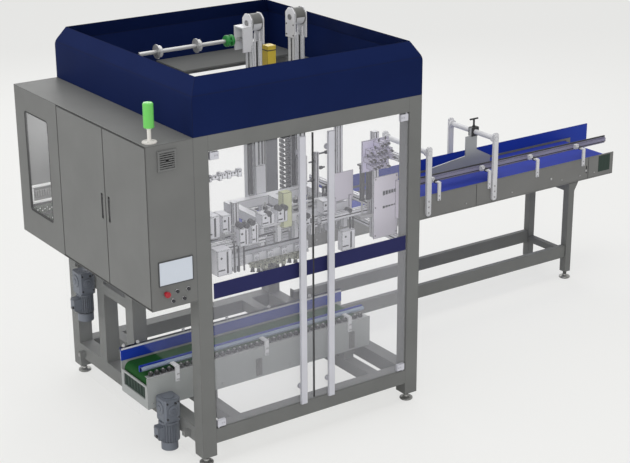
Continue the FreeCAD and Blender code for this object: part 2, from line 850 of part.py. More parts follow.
def fan_filter():
    """A square filter hood with a column of slots cut by a pattern."""
    x = CABINET_SIDE + S.filter_from_side
    z = TOP - S.filter_drop - S.filter_size
    body = plate("filter", "y", FRONT - S.filter_thick, S.filter_thick,
                 oblong((x, x + S.filter_size), (z, z + S.filter_size)))
    low = z + S.filter_border
    slot = sketch(body, "filter_slot", oblong((x + S.filter_border, x + S.filter_size - S.filter_border),
                                              (low, low + S.louvre_height)))
    slot.AttachmentOffset = Placement()
    bind(slot, ".AttachmentOffset.Base.z", S.filter_thick)
    pocket = feature(body, "Pocket", "filter_pocket", slot, Length=S.louvre_depth)
    rows = body.newObject("PartDesign::LinearPattern", "filter_rows")
    rows.Originals = [pocket]
    rows.Direction = (slot, ["V_Axis"])
    bind(rows, "Length", S.filter_size - 2 * S.filter_border - S.louvre_height)
    bind(rows, "Occurrences", S.louvre_count)
    body.Tip = rows
    return body


def beacon():
    """A green signal lamp on a white pole with a round flange."""
    x, y = CABINET_SIDE + S.beacon_from_side, FRONT + S.beacon_from_front
    keep("beacon_pole", turned("beacon_stand", "z", x, y, TOP, [
        (0, 0),
        (0, S.beacon_flange),
        (S.beacon_flange_thick, S.beacon_flange),
        (S.beacon_flange_thick, S.beacon_pole),
        (S.beacon_pole_height, S.beacon_pole),
        (S.beacon_pole_height, 0),
    ]))
    keep("beacon_lamp", rod("lamp", "z", S.lamp_radius, S.lamp_height, x, y, TOP + S.beacon_pole_height))


def infeed_conveyor():
    """Product conveyor: two side plates with end windows, end rollers and a belt loop."""
    plates = []
    for side, y in (("near", INFEED_NEAR), ("far", INFEED_FAR - S.infeed_plate_thick)):
        web = box(f"infeed_{side}_plate", (S.infeed_start, S.infeed_end), (y, y + S.infeed_plate_thick),
                  (S.infeed_bottom, INFEED_TOP))
        through = (y - S.cut_over, y + S.infeed_plate_thick + S.cut_over)
        window_x = S.infeed_end - S.end_window_from_end
        window_z = INFEED_TOP - S.end_window_drop
        slot_x = S.infeed_end - S.slot_from_end
        slot_z = S.infeed_bottom + S.slot_rise
        plates.append(cut(f"infeed_{side}_web", web, [
            box(f"{side}_end_window", (window_x - S.end_window_width, window_x), through,
                (window_z - S.end_window_height, window_z)),
            box(f"{side}_slot", (slot_x, slot_x + S.slot_width), through, (slot_z, slot_z + S.slot_height)),
        ]))
    keep("infeed_side_plates", group("infeed_plates", plates))
    inner = (INFEED_NEAR + S.infeed_plate_thick, INFEED_FAR - S.infeed_plate_thick)
    end_reach = S.roller_radius + S.roller_end_gap
    ends = (S.infeed_start + end_reach, S.infeed_end - end_reach)
    level = INFEED_TOP - S.roller_radius - S.belt_thick - S.belt_drop
    keep("infeed_belt", belt_loop("infeed_loop", ends, level, S.roller_radius, inner))
    return end_rollers("infeed", ends, level, S.roller_radius, inner)


def end_rollers(name, ends, level, radius, inner):
    """The two rollers that a belt runs round, between the side plates."""
    return [rod(f"{name}_roller_{count}", "y", radius, inner[1] - inner[0], x, inner[0], level)
            for count, x in enumerate(ends)]


def belt_loop(name, ends, level, radius, inner):
    """An endless belt: a long flat ring round two rollers."""
    low = inner[0] + S.belt_side_gap
    width = inner[1] - S.belt_side_gap - low
    rings = []
    for layer, reach in (("outer", radius + S.belt_thick), ("inner", radius)):
        run = box(f"{name}_{layer}_run", ends, (low, low + width), (level - reach, level + reach))
        caps = [rod(f"{name}_{layer}_{count}", "y", reach, width, x, low, level)
                for count, x in enumerate(ends)]
        rings.append(fused(f"{name}_{layer}", [run] + caps))
    return cut(name, rings[0], [rings[1]])


def infeed_stand():
    """Flared legs at the far end of the infeed, cross ties, and long rails back to the frame."""
    pieces = []
    left, right = S.leg_place - S.leg_size / 2, S.leg_place + S.leg_size / 2
    rail_z = (S.stand_rail_level, S.stand_rail_level + S.stand_rail_height)
    for side, y in (("near", INFEED_NEAR), ("far", INFEED_FAR - S.leg_size)):
        pieces.append(plate(f"{side}_leg", "y", y, S.leg_size, [
            (left, S.foot_height),
            (right, S.foot_height),
            (right, S.infeed_bottom - S.gusset_height),
            (right + S.gusset_reach, S.infeed_bottom - S.gusset_edge),
            (right + S.gusset_reach, S.infeed_bottom),
            (left, S.infeed_bottom),
        ]))
        rail_y = y + S.leg_size / 2 - S.stand_rail_width / 2
        pieces.append(box(f"{side}_stand_rail", (RIGHT, left), (rail_y, rail_y + S.stand_rail_width), rail_z))
    between = (INFEED_NEAR + S.leg_size, INFEED_FAR - S.leg_size)
    tie_x = (S.leg_place - S.tie_size / 2, S.leg_place + S.tie_size / 2)
    for name, z in (("low", S.stand_rail_level), ("high", S.infeed_bottom - S.tie_drop - S.tie_size)):
        pieces.append(box(f"{name}_tie", tie_x, between, (z, z + S.tie_size)))
    keep("infeed_stand", fused("stand", pieces))


def infeed_guides():
    """The near guide rail on its brackets, and the far guard bolted on the far side plate."""
    back = INFEED_NEAR + S.guide_inset
    face = back + S.guide_channel
    high, low = S.guide_level + S.guide_height / 2, S.guide_level - S.guide_height / 2
    channel_high = S.guide_level + S.guide_channel_height / 2
    channel_low = S.guide_level - S.guide_channel_height / 2
    keep("near_guide_rail", plate("guide_rail", "x", S.guide_start, S.infeed_end - S.guide_start, [
        (back, channel_low), (face, channel_low), (face, low), (face + S.guide_strip, low),
        (face + S.guide_strip, high), (face, high), (face, channel_high), (back, channel_high),
    ]))
    outer = INFEED_NEAR - S.bracket_thick
    arm_z = (S.guide_level - S.bracket_thick / 2, S.guide_level + S.bracket_thick / 2)
    brackets = []
    for count in range(SIZES["bracket_count"]):
        x = S.guide_start + S.bracket_first + S.bracket_pitch * count
        brackets.append(plate(f"guide_bracket_{count}", "x", x, S.bracket_width, [
            (outer, INFEED_TOP - S.bracket_hold), (INFEED_NEAR, INFEED_TOP - S.bracket_hold),
            (INFEED_NEAR, arm_z[0]), (back, arm_z[0]), (back, arm_z[1]), (outer, arm_z[1]),
        ]))
    keep("guide_brackets", group("brackets", brackets))
    guard_low = INFEED_TOP - S.far_guard_hold
    keep("far_guard", box("far_guard_sheet", (S.guide_start, S.far_guard_end),
                          (INFEED_FAR, INFEED_FAR + S.far_guard_thick),
                          (guard_low, guard_low + S.far_guard_height)))


GANTRY_TOP = S.gantry_post_low + S.gantry_post_length
TUBE_LEVEL = GANTRY_TOP - S.gantry_tube_drop
TUBE_NEAR = INFEED_NEAR
TUBE_FAR = INFEED_FAR + S.far_guard_thick


def gantries():
    """Two gantries: flat posts on each side plate with a round tube between their tops."""
    bevel = S.gantry_post_bevel
    for name, x in (("first_gantry", S.gantry_first), ("second_gantry", S.gantry_second)):
        left, right = x - S.gantry_post_width / 2, x + S.gantry_post_width / 2
        outline = [
            (left + bevel, S.gantry_post_low), (right - bevel, S.gantry_post_low),
            (right, S.gantry_post_low + bevel), (right, GANTRY_TOP - bevel),
            (right - bevel, GANTRY_TOP), (left + bevel, GANTRY_TOP),
            (left, GANTRY_TOP - bevel), (left, S.gantry_post_low + bevel),
        ]
        pieces = [
            plate(f"{name}_near", "y", INFEED_NEAR - S.gantry_post_thick, S.gantry_post_thick, outline),
            plate(f"{name}_far", "y", INFEED_FAR + S.far_guard_thick, S.gantry_post_thick, outline),
            rod(f"{name}_tube", "y", S.gantry_tube_radius, TUBE_FAR - TUBE_NEAR, x, TUBE_NEAR, TUBE_LEVEL),
        ]
        keep(name, fused(f"{name}_frame", pieces))


def divider():
    """The lane divider: a shaped plate hung from the second gantry's tube by a clamp with a T handle."""
    x = S.gantry_second
    middle = INFEED_NEAR + S.divider_place
    low, high = S.divider_level, S.divider_level + S.divider_height
    clamp_low, clamp_high = TUBE_LEVEL - S.clamp_half, TUBE_LEVEL + S.clamp_half
    shape = plate("divider_sheet", "y", middle - S.divider_thick / 2, S.divider_thick, [
        (x - S.divider_before, low),
        (x + S.divider_after, low),
        (x + S.divider_after, high),
        (x + S.neck_after, high + S.shoulder_rise),
        (x + S.neck_after, clamp_low),
        (x - S.neck_before, clamp_low),
        (x - S.neck_before, high + S.shoulder_rise / 2),
        (x - S.divider_before, high),
    ])
    clamp_y = (middle - S.clamp_thick / 2, middle + S.clamp_thick / 2)
    block = box("clamp_block", (x - S.clamp_half, x + S.clamp_half), clamp_y, (clamp_low, clamp_high))
    bore = rod("clamp_bore", "y", S.gantry_tube_radius + S.clamp_bore_gap, S.clamp_thick,
               x, clamp_y[0], TUBE_LEVEL)
    thin = S.handle_size / 2
    stem_y = (middle - thin, middle + thin)
    handle_z = clamp_high + S.handle_height
    stem = box("handle_stem", (x - thin, x + thin), stem_y, (clamp_high, handle_z))
    bar = box("handle_bar", (x - S.handle_span / 2, x + S.handle_span / 2), stem_y,
              (handle_z - S.handle_size, handle_z))
    keep("divider_plate", fused("divider", [shape, cut("clamp", block, [bore]), stem, bar]))


def case_conveyor():
    """Low conveyor for the cases: a trough of side plates and end covers, rollers and a belt."""
    x = (S.case_start, CASE_END)
    z = (S.case_bottom, CASE_TOP)
    thick = S.case_plate_thick
    border = S.case_cover_border
    pieces = [
        box("case_near_plate", x, (S.case_near, S.case_near + thick), z),
        box("case_far_plate", x, (CASE_FAR - thick, CASE_FAR), z),
    ]
    for count, cover_x in enumerate((x[0], x[1] - thick)):
        cover = box(f"case_cover_{count}", (cover_x, cover_x + thick), (S.case_near, CASE_FAR),
                    (S.case_bottom, CASE_TOP - S.case_cover_drop - S.case_roller_radius))
        opening = box(f"cover_opening_{count}", (cover_x, cover_x + thick),
                      (S.case_near + border, CASE_FAR - border),
                      (S.case_bottom + S.case_cover_sill,
                       CASE_TOP - S.case_cover_drop - S.case_roller_radius - S.case_cover_drop))
        pieces.append(cut(f"cover_{count}", cover, [opening]))
    keep("case_side_plates", fused("case_trough", pieces))
    inner = (S.case_near + thick, CASE_FAR - thick)
    ends = (x[0] + S.case_roller_radius + S.case_roller_gap, x[1] - S.case_roller_radius - S.case_roller_gap)
    level = CASE_TOP - S.case_roller_radius - S.belt_thick - S.case_belt_drop
    keep("case_belt", belt_loop("case_loop", ends, level, S.case_roller_radius, inner))
    return end_rollers("case", ends, level, S.case_roller_radius, inner)


def case_guides():
    """The far guide panel with its capping rail, and the near tube with its strip on brackets."""
    x = (S.case_start, CASE_END)
    rail_z = CASE_TOP + S.case_guide_height
    far = fused("case_far_guide", [
        box("far_panel", x, (CASE_FAR - S.case_guide_thick, CASE_FAR), (CASE_TOP, rail_z)),
        box("far_cap", x, (CASE_FAR - S.case_guide_thick, CASE_FAR + S.case_guide_thick),
            (rail_z, rail_z + S.case_rail_height)),
    ])
    level = CASE_TOP + S.case_rod_lift
    middle = S.case_near + S.case_rod_inset
    half = S.case_bracket_thick / 2
    pieces = [
        rod("near_rod", "x", S.case_rod_radius, x[1] - x[0], x[0], middle, level),
        box("near_strip", x, (middle + S.case_strip_reach - S.case_strip_thick, middle + S.case_strip_reach),
            (level - S.case_strip_height / 2, level + S.case_strip_height / 2)),
    ]
    for count in range(SIZES["case_bracket_count"]):
        place = x[0] + S.case_bracket_first + S.case_bracket_pitch * count
        pieces.append(plate(f"case_bracket_{count}", "x", place, S.case_bracket_width, [
            (S.case_near - S.case_bracket_thick, CASE_TOP - S.case_bracket_drop),
            (S.case_near, CASE_TOP - S.case_bracket_drop),
            (S.case_near, level - half),
            (middle + S.case_strip_reach - half, level - half),
            (middle + S.case_strip_reach - half, level + half),
            (S.case_near - S.case_bracket_thick, level + half),
        ]))
    keep("case_guides", group("case_guide_pair", [far, fused("case_near_guide", pieces)]))


def case_supports():
    """Two cross beams between the bottom rails, with stubs up to the case conveyor."""
    supports = []
    first, last = INNER_LEFT + S.support_inset, INNER_RIGHT - S.support_inset - S.support_width
    for count, place in enumerate((first, last)):
        x = (place, place + S.support_width)
        supports.append(fused(f"support_{count}", [
            box(f"support_beam_{count}", x, (INNER_FRONT, INNER_BACK), (RAIL_HIGH - S.support_width, RAIL_HIGH)),
            box(f"support_near_{count}", x, (S.case_near, S.case_near + S.support_stub),
                (RAIL_HIGH, S.case_bottom)),
            box(f"support_far_{count}", x, (CASE_FAR - S.support_stub, CASE_FAR), (RAIL_HIGH, S.case_bottom)),
        ]))
    keep("case_supports", group("support_pair", supports))


def gear_motors():
    """Vertical gear motors: a gearbox bolted on at the side with a finned motor hung under it."""
    drives = [
        gear_motor("case", -S.case_motor_place, S.case_near - S.gearbox_size / 2, S.case_motor_level),
        gear_motor("infeed", LEFT - S.gearbox_size / 2, INFEED_FAR - S.infeed_motor_inset,
                   S.infeed_motor_level),
    ]
    keep("gear_motors", group("drives", drives))


def gear_motor(name, x, y, low):
    """One drive: bevelled gearbox, square flange, finned barrel, fan cowl and terminal box."""
    half, bevel = S.gearbox_size / 2, S.gearbox_bevel
    gearbox = plate(f"{name}_gearbox", "z", low, S.gearbox_height, [
        (x - half + bevel, y - half), (x + half - bevel, y - half),
        (x + half, y - half + bevel), (x + half, y + half - bevel),
        (x + half - bevel, y + half), (x - half + bevel, y + half),
        (x - half, y + half - bevel), (x - half, y - half + bevel),
    ])
    reach = S.motor_flange / 2
    flange_low = low - S.motor_flange_thick
    flange = box(f"{name}_flange", (x - reach, x + reach), (y - reach, y + reach), (flange_low, low))
    barrel_low = flange_low - S.motor_body
    cowl = rod(f"{name}_cowl", "z", S.cowl_radius, S.cowl_height, x, y, barrel_low - S.cowl_height)
    box_low = barrel_low + (S.motor_body - S.terminal_box_height) / 2
    edge = x - S.motor_core - S.motor_fin
    terminal = box(f"{name}_terminal_box", (edge - S.terminal_box_reach, edge + S.motor_fin * 2),
                   (y - S.terminal_box_width / 2, y + S.terminal_box_width / 2),
                   (box_low, box_low + S.terminal_box_height))
    return fused(f"{name}_drive", [gearbox, flange, finned_barrel(name, x, y, barrel_low), cowl, terminal])


def finned_barrel(name, x, y, low):
    """A motor barrel with cooling fins patterned round it."""
    body = document.addObject("PartDesign::Body", f"{name}_barrel")
    core = body.newObject("PartDesign::AdditiveCylinder", f"{name}_core")
    bind(core, "Radius", S.motor_core)
    bind(core, "Height", S.motor_body)
    half = S.motor_fin_thick / 2
    drawing = sketch(body, f"{name}_fin_outline",
                     oblong((S.motor_core - S.motor_fin, S.motor_core + S.motor_fin), (-half, half)))
    fin = feature(body, "Pad", f"{name}_fin", drawing, Length=S.motor_body)
    ring = body.newObject("PartDesign::PolarPattern", f"{name}_fins")
    ring.Originals = [fin]
    ring.Axis = (drawing, ["N_Axis"])
    ring.Angle = 360
    bind(ring, "Occurrences", S.motor_fin_count)
    body.Tip = ring
    stand(body, x, y, low)
    return body


def roof_beams():
    """Beams across the roof that carry the lift, their bridge plate, and a plate over the rear."""
    z = (TOP - S.post_size, TOP)
    pieces = [
        box("front_beam", (INNER_LEFT, INNER_RIGHT), (COLUMN_FRONT - S.beam_width, COLUMN_FRONT), z),
        box("rear_beam", (INNER_LEFT, INNER_RIGHT), (COLUMN_REAR, COLUMN_REAR + S.beam_width), z),
        box("bridge_plate", (S.column_first + S.column_size / 2, COLUMN_SECOND - S.column_size / 2),
            (COLUMN_FRONT - S.beam_width, COLUMN_REAR + S.beam_width), (TOP, TOP + S.bridge_thick)),
    ]
    rear = box("rear_plate", (S.rear_plate_inset, RIGHT - S.rear_plate_edge),
               (INNER_BACK - S.rear_plate_reach, BACK - S.rear_plate_edge), (TOP, TOP + S.rear_plate_thick))
    keep("roof_beams", group("roof_pieces", [fused("beam_set", pieces), rear]))


def lift_columns():
    """Two slotted aluminium columns held between the roof beams, each with its cable chain."""
    half, slot, depth = S.column_size / 2, S.column_slot / 2, S.column_slot_depth
    columns = []
    for count, x in enumerate((S.column_first, COLUMN_SECOND)):
        outline = []
        for across, up in ((1, 0), (0, 1), (-1, 0), (0, -1)):
            corners = [(half, -slot), (half - depth, -slot), (half - depth, slot), (half, slot), (half, half)]
            for out, along in corners:
                outline.append((x + across * out - up * along, S.column_place + up * out + across * along))
        height = COLUMN_TOP - S.column_bottom
        columns.append(plate(f"column_{count}", "z", S.column_bottom, height, outline))
        columns.append(cable_chain(count, x - half - S.chain_width))
    keep("lift_columns", group("column_pair", [
        fused("column_set_0", columns[:2]), fused("column_set_1", columns[2:])]))


def cable_chain(count, x):
    """A stepped strip of chain links that runs down beside a column."""
    middle, half, step = S.column_place, S.chain_depth / 2, S.chain_step
    low = S.column_bottom
    outline = []
    for link in range(SIZES["chain_links"]):
        base = low + S.chain_pitch * link
        joint, end = base + S.chain_pitch * 3 / 4, base + S.chain_pitch
        outline += [
            (middle - half, base),
            (middle - half, joint),
            (middle - half + step, joint),
            (middle - half + step, end),
        ]
    outline += [(middle + half, end), (middle + half, low)]
    return plate(f"cable_chain_{count}", "x", x, S.chain_width, outline)


def pulley_heads():
    """Cheek plates on each column with a pulley between them, and the shaft bearing."""
    pieces = []
    low = COLUMN_TOP - S.head_plate_hold
    across = (S.column_place - S.head_plate_depth / 2, S.column_place + S.head_plate_depth / 2)
    top = low + S.head_plate_height
    for count, x in enumerate((S.column_first, COLUMN_SECOND)):
        left = x - S.column_size / 2 - S.head_plate_thick
        for side, place in (("left", left), ("right", x + S.column_size / 2)):
            pieces.append(plate(f"cheek_{count}_{side}", "x", place, S.head_plate_thick, [
                (across[0], low), (across[1], low),
                (across[1], top - S.head_plate_bevel), (across[1] - S.head_plate_bevel, top),
                (across[0] + S.head_plate_bevel, top), (across[0], top - S.head_plate_bevel),
            ]))
        pieces.append(rod(f"pulley_{count}", "x", S.pulley_radius, S.column_size - 2 * S.pulley_gap,
                          x - S.column_size / 2 + S.pulley_gap, S.column_place, COLUMN_TOP + S.pulley_rise))
    pieces[0] = fused("bearing_set", [pieces[0]] + bearing_bracket())
    keep("pulley_heads", group("heads", pieces))


SHAFT_LEVEL = TOP + S.shaft_rise
SHAFT_END = S.column_first - S.column_size / 2 - S.head_plate_thick


def bearing_bracket():
    """A channel that stands out from the first head, open towards the shaft that it carries."""
    x = (SHAFT_END - S.bearing_plate_width, SHAFT_END)
    half, thick = S.head_plate_depth / 2, S.bearing_plate_thick
    low = SHAFT_LEVEL - S.bearing_plate_height / 2
    high = low + S.bearing_plate_height
    return [
        box("bearing_near", x, (S.column_place - half, S.column_place - half + thick), (low, high)),
        box("bearing_far", x, (S.column_place + half - thick, S.column_place + half), (low, high)),
        box("bearing_top", x, (S.column_place - half, S.column_place + half), (high - thick, high)),
    ]


def drive_shaft():
    """The lift shaft turned with its two wheels, and its jaw coupling."""
    pieces = [rod("shaft", "x", S.shaft_radius, SHAFT_END - S.shaft_start, S.shaft_start, S.column_place,
                  SHAFT_LEVEL)]
    for count in range(2):
        pieces.append(rod(f"wheel_{count}", "x", S.wheel_radius, S.wheel_width,
                          S.wheel_first + S.wheel_spacing * count, S.column_place, SHAFT_LEVEL))
    reach, bevel = S.coupling_radius, S.coupling_radius / 2
    y, z = S.column_place, SHAFT_LEVEL
    coupling_x = SHAFT_END - S.coupling_from_head - S.coupling_width
    pieces.append(plate("coupling", "x", coupling_x, S.coupling_width, [
        (y - bevel, z - reach), (y + bevel, z - reach), (y + reach, z - bevel), (y + reach, z + bevel),
        (y + bevel, z + reach), (y - bevel, z + reach), (y - reach, z + bevel), (y - reach, z - bevel),
    ]))
    keep("drive_shaft", fused("shaft_set", pieces))


def lift_motor():
    """The lift's servo motor standing on its reducer on the bridge plate."""
    x, y, low = S.column_first + S.motor_offset, S.column_place, TOP + S.bridge_thick
    pieces = []
    for name, width, z in (
        ("reducer", S.reducer_width, (low, low + S.reducer_height)),
        ("servo", S.motor_width, (low + S.reducer_height, low + S.reducer_height + S.motor_height)),
    ):
        pieces.append(box(f"lift_{name}", (x - width / 2, x + width / 2), (y - width / 2, y + width / 2), z))
    keep("lift_motor", fused("lift_drive", pieces))


def drop_head():
    """The drop head: a beam frame on carriage plates at the columns, with rows of gripper fingers."""
    left, right = S.column_first - S.head_before, COLUMN_SECOND + S.head_after
    near = COLUMN_FRONT - S.carriage_thick - S.head_reach
    far = COLUMN_FRONT - S.carriage_thick
    size = S.beam_size
    z = (S.head_level, S.head_level + size)
    pieces = [
        box("head_near_beam", (left, right), (near, near + size), z),
        box("head_far_beam", (left, right), (far - size, far), z),
    ]
    for count, x in enumerate((left, (left + right - size) / 2, right - size)):
        pieces.append(box(f"head_cross_{count}", (x, x + size), (near + size, far - size), z))
    for count, x in enumerate((S.column_first, COLUMN_SECOND)):
        pieces.append(box(f"carriage_{count}", (x - S.column_size / 2, x + S.column_size / 2),
                          (far, COLUMN_FRONT), (S.head_level, S.head_level + S.carriage_height)))
    step = (right - left - S.finger_size) / (S.finger_columns - 1)
    inset = (size - S.finger_size) / 2
    for row, y in enumerate((near + inset, far - size + inset)):
        for column in range(SIZES["finger_columns"]):
            x = left + step * column
            pieces.append(box(f"finger_{row}_{column}", (x, x + S.finger_size), (y, y + S.finger_size),
                              (S.head_level - S.finger_length, S.head_level)))
    keep("drop_head", fused("head_set", pieces))


def check_and_write():
    """Stop on any failed or open shape, then write each sub-part to its file."""
    document.recompute()
    for item in document.Objects:
        if "Invalid" in item.State or "Error" in item.State:
            raise RuntimeError(f"{item.Name} failed: {item.State}")
    for piece in parts:
        if piece.Shape.isNull() or not piece.Shape.isValid():
            raise RuntimeError(f"{piece.Label} has no valid shape")
    os.makedirs("parts", exist_ok=True)
    for piece in parts:
        piece.Shape.exportStep(f"parts/{piece.Label}.step")


frame()
left_side_frame()
feet()
hood()
front_doors()
clear_guards()
hinge_pins()
cabinet()
operator_panel()
beacon()
rollers = infeed_conveyor() + case_conveyor()
keep("belt_rollers", group("rollers", rollers))
infeed_stand()
infeed_guides()
gantries()
divider()
case_guides()
case_supports()
gear_motors()
roof_beams()
lift_columns()
pulley_heads()
drive_shaft()
lift_motor()
drop_head()
check_and_write()
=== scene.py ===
"""Drop case packer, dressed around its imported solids."""
import itertools
import math

import bmesh
import bpy
from mathutils import Matrix, Vector


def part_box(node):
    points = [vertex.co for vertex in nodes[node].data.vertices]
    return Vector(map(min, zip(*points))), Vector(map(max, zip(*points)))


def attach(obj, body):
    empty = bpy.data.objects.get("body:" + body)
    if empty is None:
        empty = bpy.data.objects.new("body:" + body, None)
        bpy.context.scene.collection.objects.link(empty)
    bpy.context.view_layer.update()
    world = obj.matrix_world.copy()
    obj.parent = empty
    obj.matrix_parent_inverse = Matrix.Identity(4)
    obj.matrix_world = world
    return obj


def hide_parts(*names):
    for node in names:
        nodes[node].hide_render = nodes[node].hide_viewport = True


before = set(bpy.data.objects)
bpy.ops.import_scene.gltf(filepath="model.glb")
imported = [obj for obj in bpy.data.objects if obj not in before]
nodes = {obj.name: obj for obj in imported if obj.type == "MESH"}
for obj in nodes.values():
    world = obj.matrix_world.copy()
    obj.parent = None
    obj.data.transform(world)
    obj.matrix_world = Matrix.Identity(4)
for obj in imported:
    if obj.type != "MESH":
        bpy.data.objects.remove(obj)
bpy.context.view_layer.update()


# --- Camera, floor and light ---
# The machine stands in an empty, evenly lit hall, seen from the front left and a little above.
# Floor and backdrop are the same pale grey.
eye = Vector((-4.2999, -7.4382, 4.6465))
view_right = Vector((0.82140, -0.57033, -0.00520)).normalized()
view_back = -Vector((0.53499, 0.77359, -0.33964)).normalized()
lens = bpy.data.cameras.new("packer_camera")
lens.lens, lens.sensor_width, lens.clip_end = 86.83, 36, 100
camera = bpy.data.objects.new("packer_camera", lens)
bpy.context.scene.collection.objects.link(camera)
camera.matrix_world = Matrix((view_right, view_back.cross(view_right), view_back)).transposed().to_4x4()
camera.location = eye
bpy.context.scene.camera = camera
bpy.context.scene.view_settings.view_transform = "Standard"

# Each lamp is a square soft panel: name, place, aim, width in metres, watts.
for name, place, aim, width, watts in (
        ("front_panel_lamp", (-3.5, -8, 5.5), (1, 0.5, 1), 5, 230),
        ("left_panel_lamp", (-8, 1, 4.5), (0, 0.8, 1.2), 5, 210),
        ("roof_panel_lamp", (1.5, 0.5, 9), (1.5, 0.8, 0), 6, 190),
        ("back_panel_lamp", (5, 8, 5), (1.5, 1, 1), 5, 190),
        ("cabinet_lamp", (-0.21, 1.28, 1.98), (-0.21, 1.70, 1.45), 0.12, 4)):
    light = bpy.data.lights.new(name, "AREA")
    light.shape, light.size, light.energy = "SQUARE", width, watts
    lamp = bpy.data.objects.new(name, light)
    bpy.context.scene.collection.objects.link(lamp)
    lamp.location = place
    lamp.rotation_euler = (Vector(aim) - Vector(place)).to_track_quat("-Z", "Y").to_euler()


def added(tree, kind, feeds=(), operation=None, **values):
    """A new shader node: its socket values, and the outputs that feed it, as (socket, output)."""
    made = tree.nodes.new("ShaderNode" + kind)
    if operation:
        made.operation = operation
    for socket, value in values.items():
        made.inputs[socket.replace("_", " ")].default_value = value
    for socket, output in feeds:
        tree.links.new(output, made.inputs[socket])
    return made


HALL_GREY = (0.875, 0.875, 0.86, 1)
hall = bpy.data.worlds.new("hall")
bpy.context.scene.world = hall
hall.use_nodes = True
tree = hall.node_tree
soft = tree.nodes["Background"]
soft.inputs["Color"].default_value = (1, 1, 1, 1)
soft.inputs["Strength"].default_value = 0.62
bright = added(tree, "Background", Color=HALL_GREY)
ray = added(tree, "LightPath").outputs
seen = added(tree, "Math", [(0, ray["Is Camera Ray"]), (1, ray["Is Transmission Ray"])], "MAXIMUM")
glossy = added(tree, "Math", [(0, seen.outputs[0]), (1, ray["Is Glossy Ray"])], "MAXIMUM")
sky = added(tree, "MixShader", [(0, glossy.outputs[0]), (1, soft.outputs[0]), (2, bright.outputs[0])])
tree.links.new(sky.outputs[0], tree.nodes["World Output"].inputs["Surface"])

floor_finish = bpy.data.materials.new("hall_floor")
floor_finish.use_nodes = True
tree = floor_finish.node_tree
screed = tree.nodes["Principled BSDF"]
screed.inputs["Roughness"].default_value = 0.9
screed.inputs["Specular IOR Level"].default_value = 0.1
grain = added(tree, "TexNoise", Scale=3)
tint = added(tree, "ValToRGB", [("Fac", grain.outputs["Fac"])])
tint.color_ramp.elements[0].color = (0.84, 0.84, 0.825, 1)
tint.color_ramp.elements[1].color = (0.88, 0.88, 0.865, 1)
tree.links.new(tint.outputs["Color"], screed.inputs["Base Color"])
glow = added(tree, "Emission", Color=HALL_GREY)
ray = added(tree, "LightPath").outputs
seen = added(tree, "Math", [(0, ray["Is Camera Ray"])], "MULTIPLY")
seen.inputs[1].default_value = 0.72
level = added(tree, "MixShader", [(0, seen.outputs[0]), (1, screed.outputs[0]), (2, glow.outputs[0])])
tree.links.new(level.outputs[0], tree.nodes["Material Output"].inputs["Surface"])
ground = bmesh.new()
bmesh.ops.create_grid(ground, x_segments=4, y_segments=4, size=30)
slab = bpy.data.meshes.new("hall_floor")
ground.to_mesh(slab)
slab.materials.append(floor_finish)
floor = bpy.data.objects.new("hall_floor", slab)
floor.location.z = -0.001
bpy.context.scene.collection.objects.link(floor)


def coated(name, colour, rough, slot=None, metallic=0.0, edge=0.45, speckle=0.05, grain_scale=700, dent=0.06,
           line=4, **sockets):
    """A painted, moulded or metal surface with fine grain, faint clouding and darker edges. Its
    slot argument is not used."""
    finish = bpy.data.materials.new(name)
    finish.use_nodes = True
    tree = finish.node_tree
    shader = tree.nodes["Principled BSDF"]
    shader.inputs["Metallic"].default_value = metallic
    for socket, value in sockets.items():
        shader.inputs[socket.replace("_", " ")].default_value = value
    place = added(tree, "TexCoord").outputs["Object"]
    cloud = added(tree, "TexNoise", [("Vector", place)], Scale=4, Detail=5)
    shades = added(tree, "ValToRGB", [("Fac", cloud.outputs["Fac"])])
    for element, stop, share in zip(shades.color_ramp.elements, (0.3, 0.7), (1 - speckle, 1 + speckle)):
        element.position = stop
        element.color = (*[min(1, band * share) for band in colour], 1)
    paint = shades.outputs["Color"]
    if edge:
        corner = added(tree, "Bevel", Radius=line / 1000)
        corner.samples = 4
        solid = added(tree, "NewGeometry")
        turn = added(tree, "VectorMath", [(0, corner.outputs["Normal"]), (1, solid.outputs["Normal"])],
                     "DOT_PRODUCT")
        mask = added(tree, "MapRange", [("Value", turn.outputs["Value"])], From_Min=0.995, From_Max=0.93,
                     To_Max=edge)
        lined = tree.nodes.new("ShaderNodeMix")
        lined.data_type = "RGBA"
        lined.inputs["B"].default_value = (0.012, 0.012, 0.012, 1)
        tree.links.new(mask.outputs["Result"], lined.inputs["Factor"])
        tree.links.new(paint, lined.inputs["A"])
        paint = lined.outputs["Result"]
    tree.links.new(paint, shader.inputs["Base Color"])
    fine = added(tree, "TexNoise", [("Vector", place)], Scale=grain_scale).outputs["Fac"]
    spread = added(tree, "MapRange", [("Value", fine)], To_Min=rough - 0.06, To_Max=rough + 0.06)
    tree.links.new(spread.outputs["Result"], shader.inputs["Roughness"])
    relief = added(tree, "Bump", [("Height", fine)], Strength=dent, Distance=0.0006)
    tree.links.new(relief.outputs["Normal"], shader.inputs["Normal"])
    return finish


def dress(finish, *names):
    """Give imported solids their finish."""
    for name in names:
        nodes[name].data.materials.clear()
        nodes[name].data.materials.append(finish)


frame_coat = coated("frame_coat", (0.165, 0.168, 0.163), 0.55, "frame_grey", Specular_IOR_Level=0.2)
dress(frame_coat, "front_left_post", "front_right_post", "rear_left_post", "rear_right_post",
      "front_bottom_rail", "rear_bottom_rail", "right_bottom_rail", "front_top_rail", "rear_top_rail",
      "right_top_rail", "left_top_rail", "left_side_frame", "infeed_stand", "case_supports", "roof_beams")


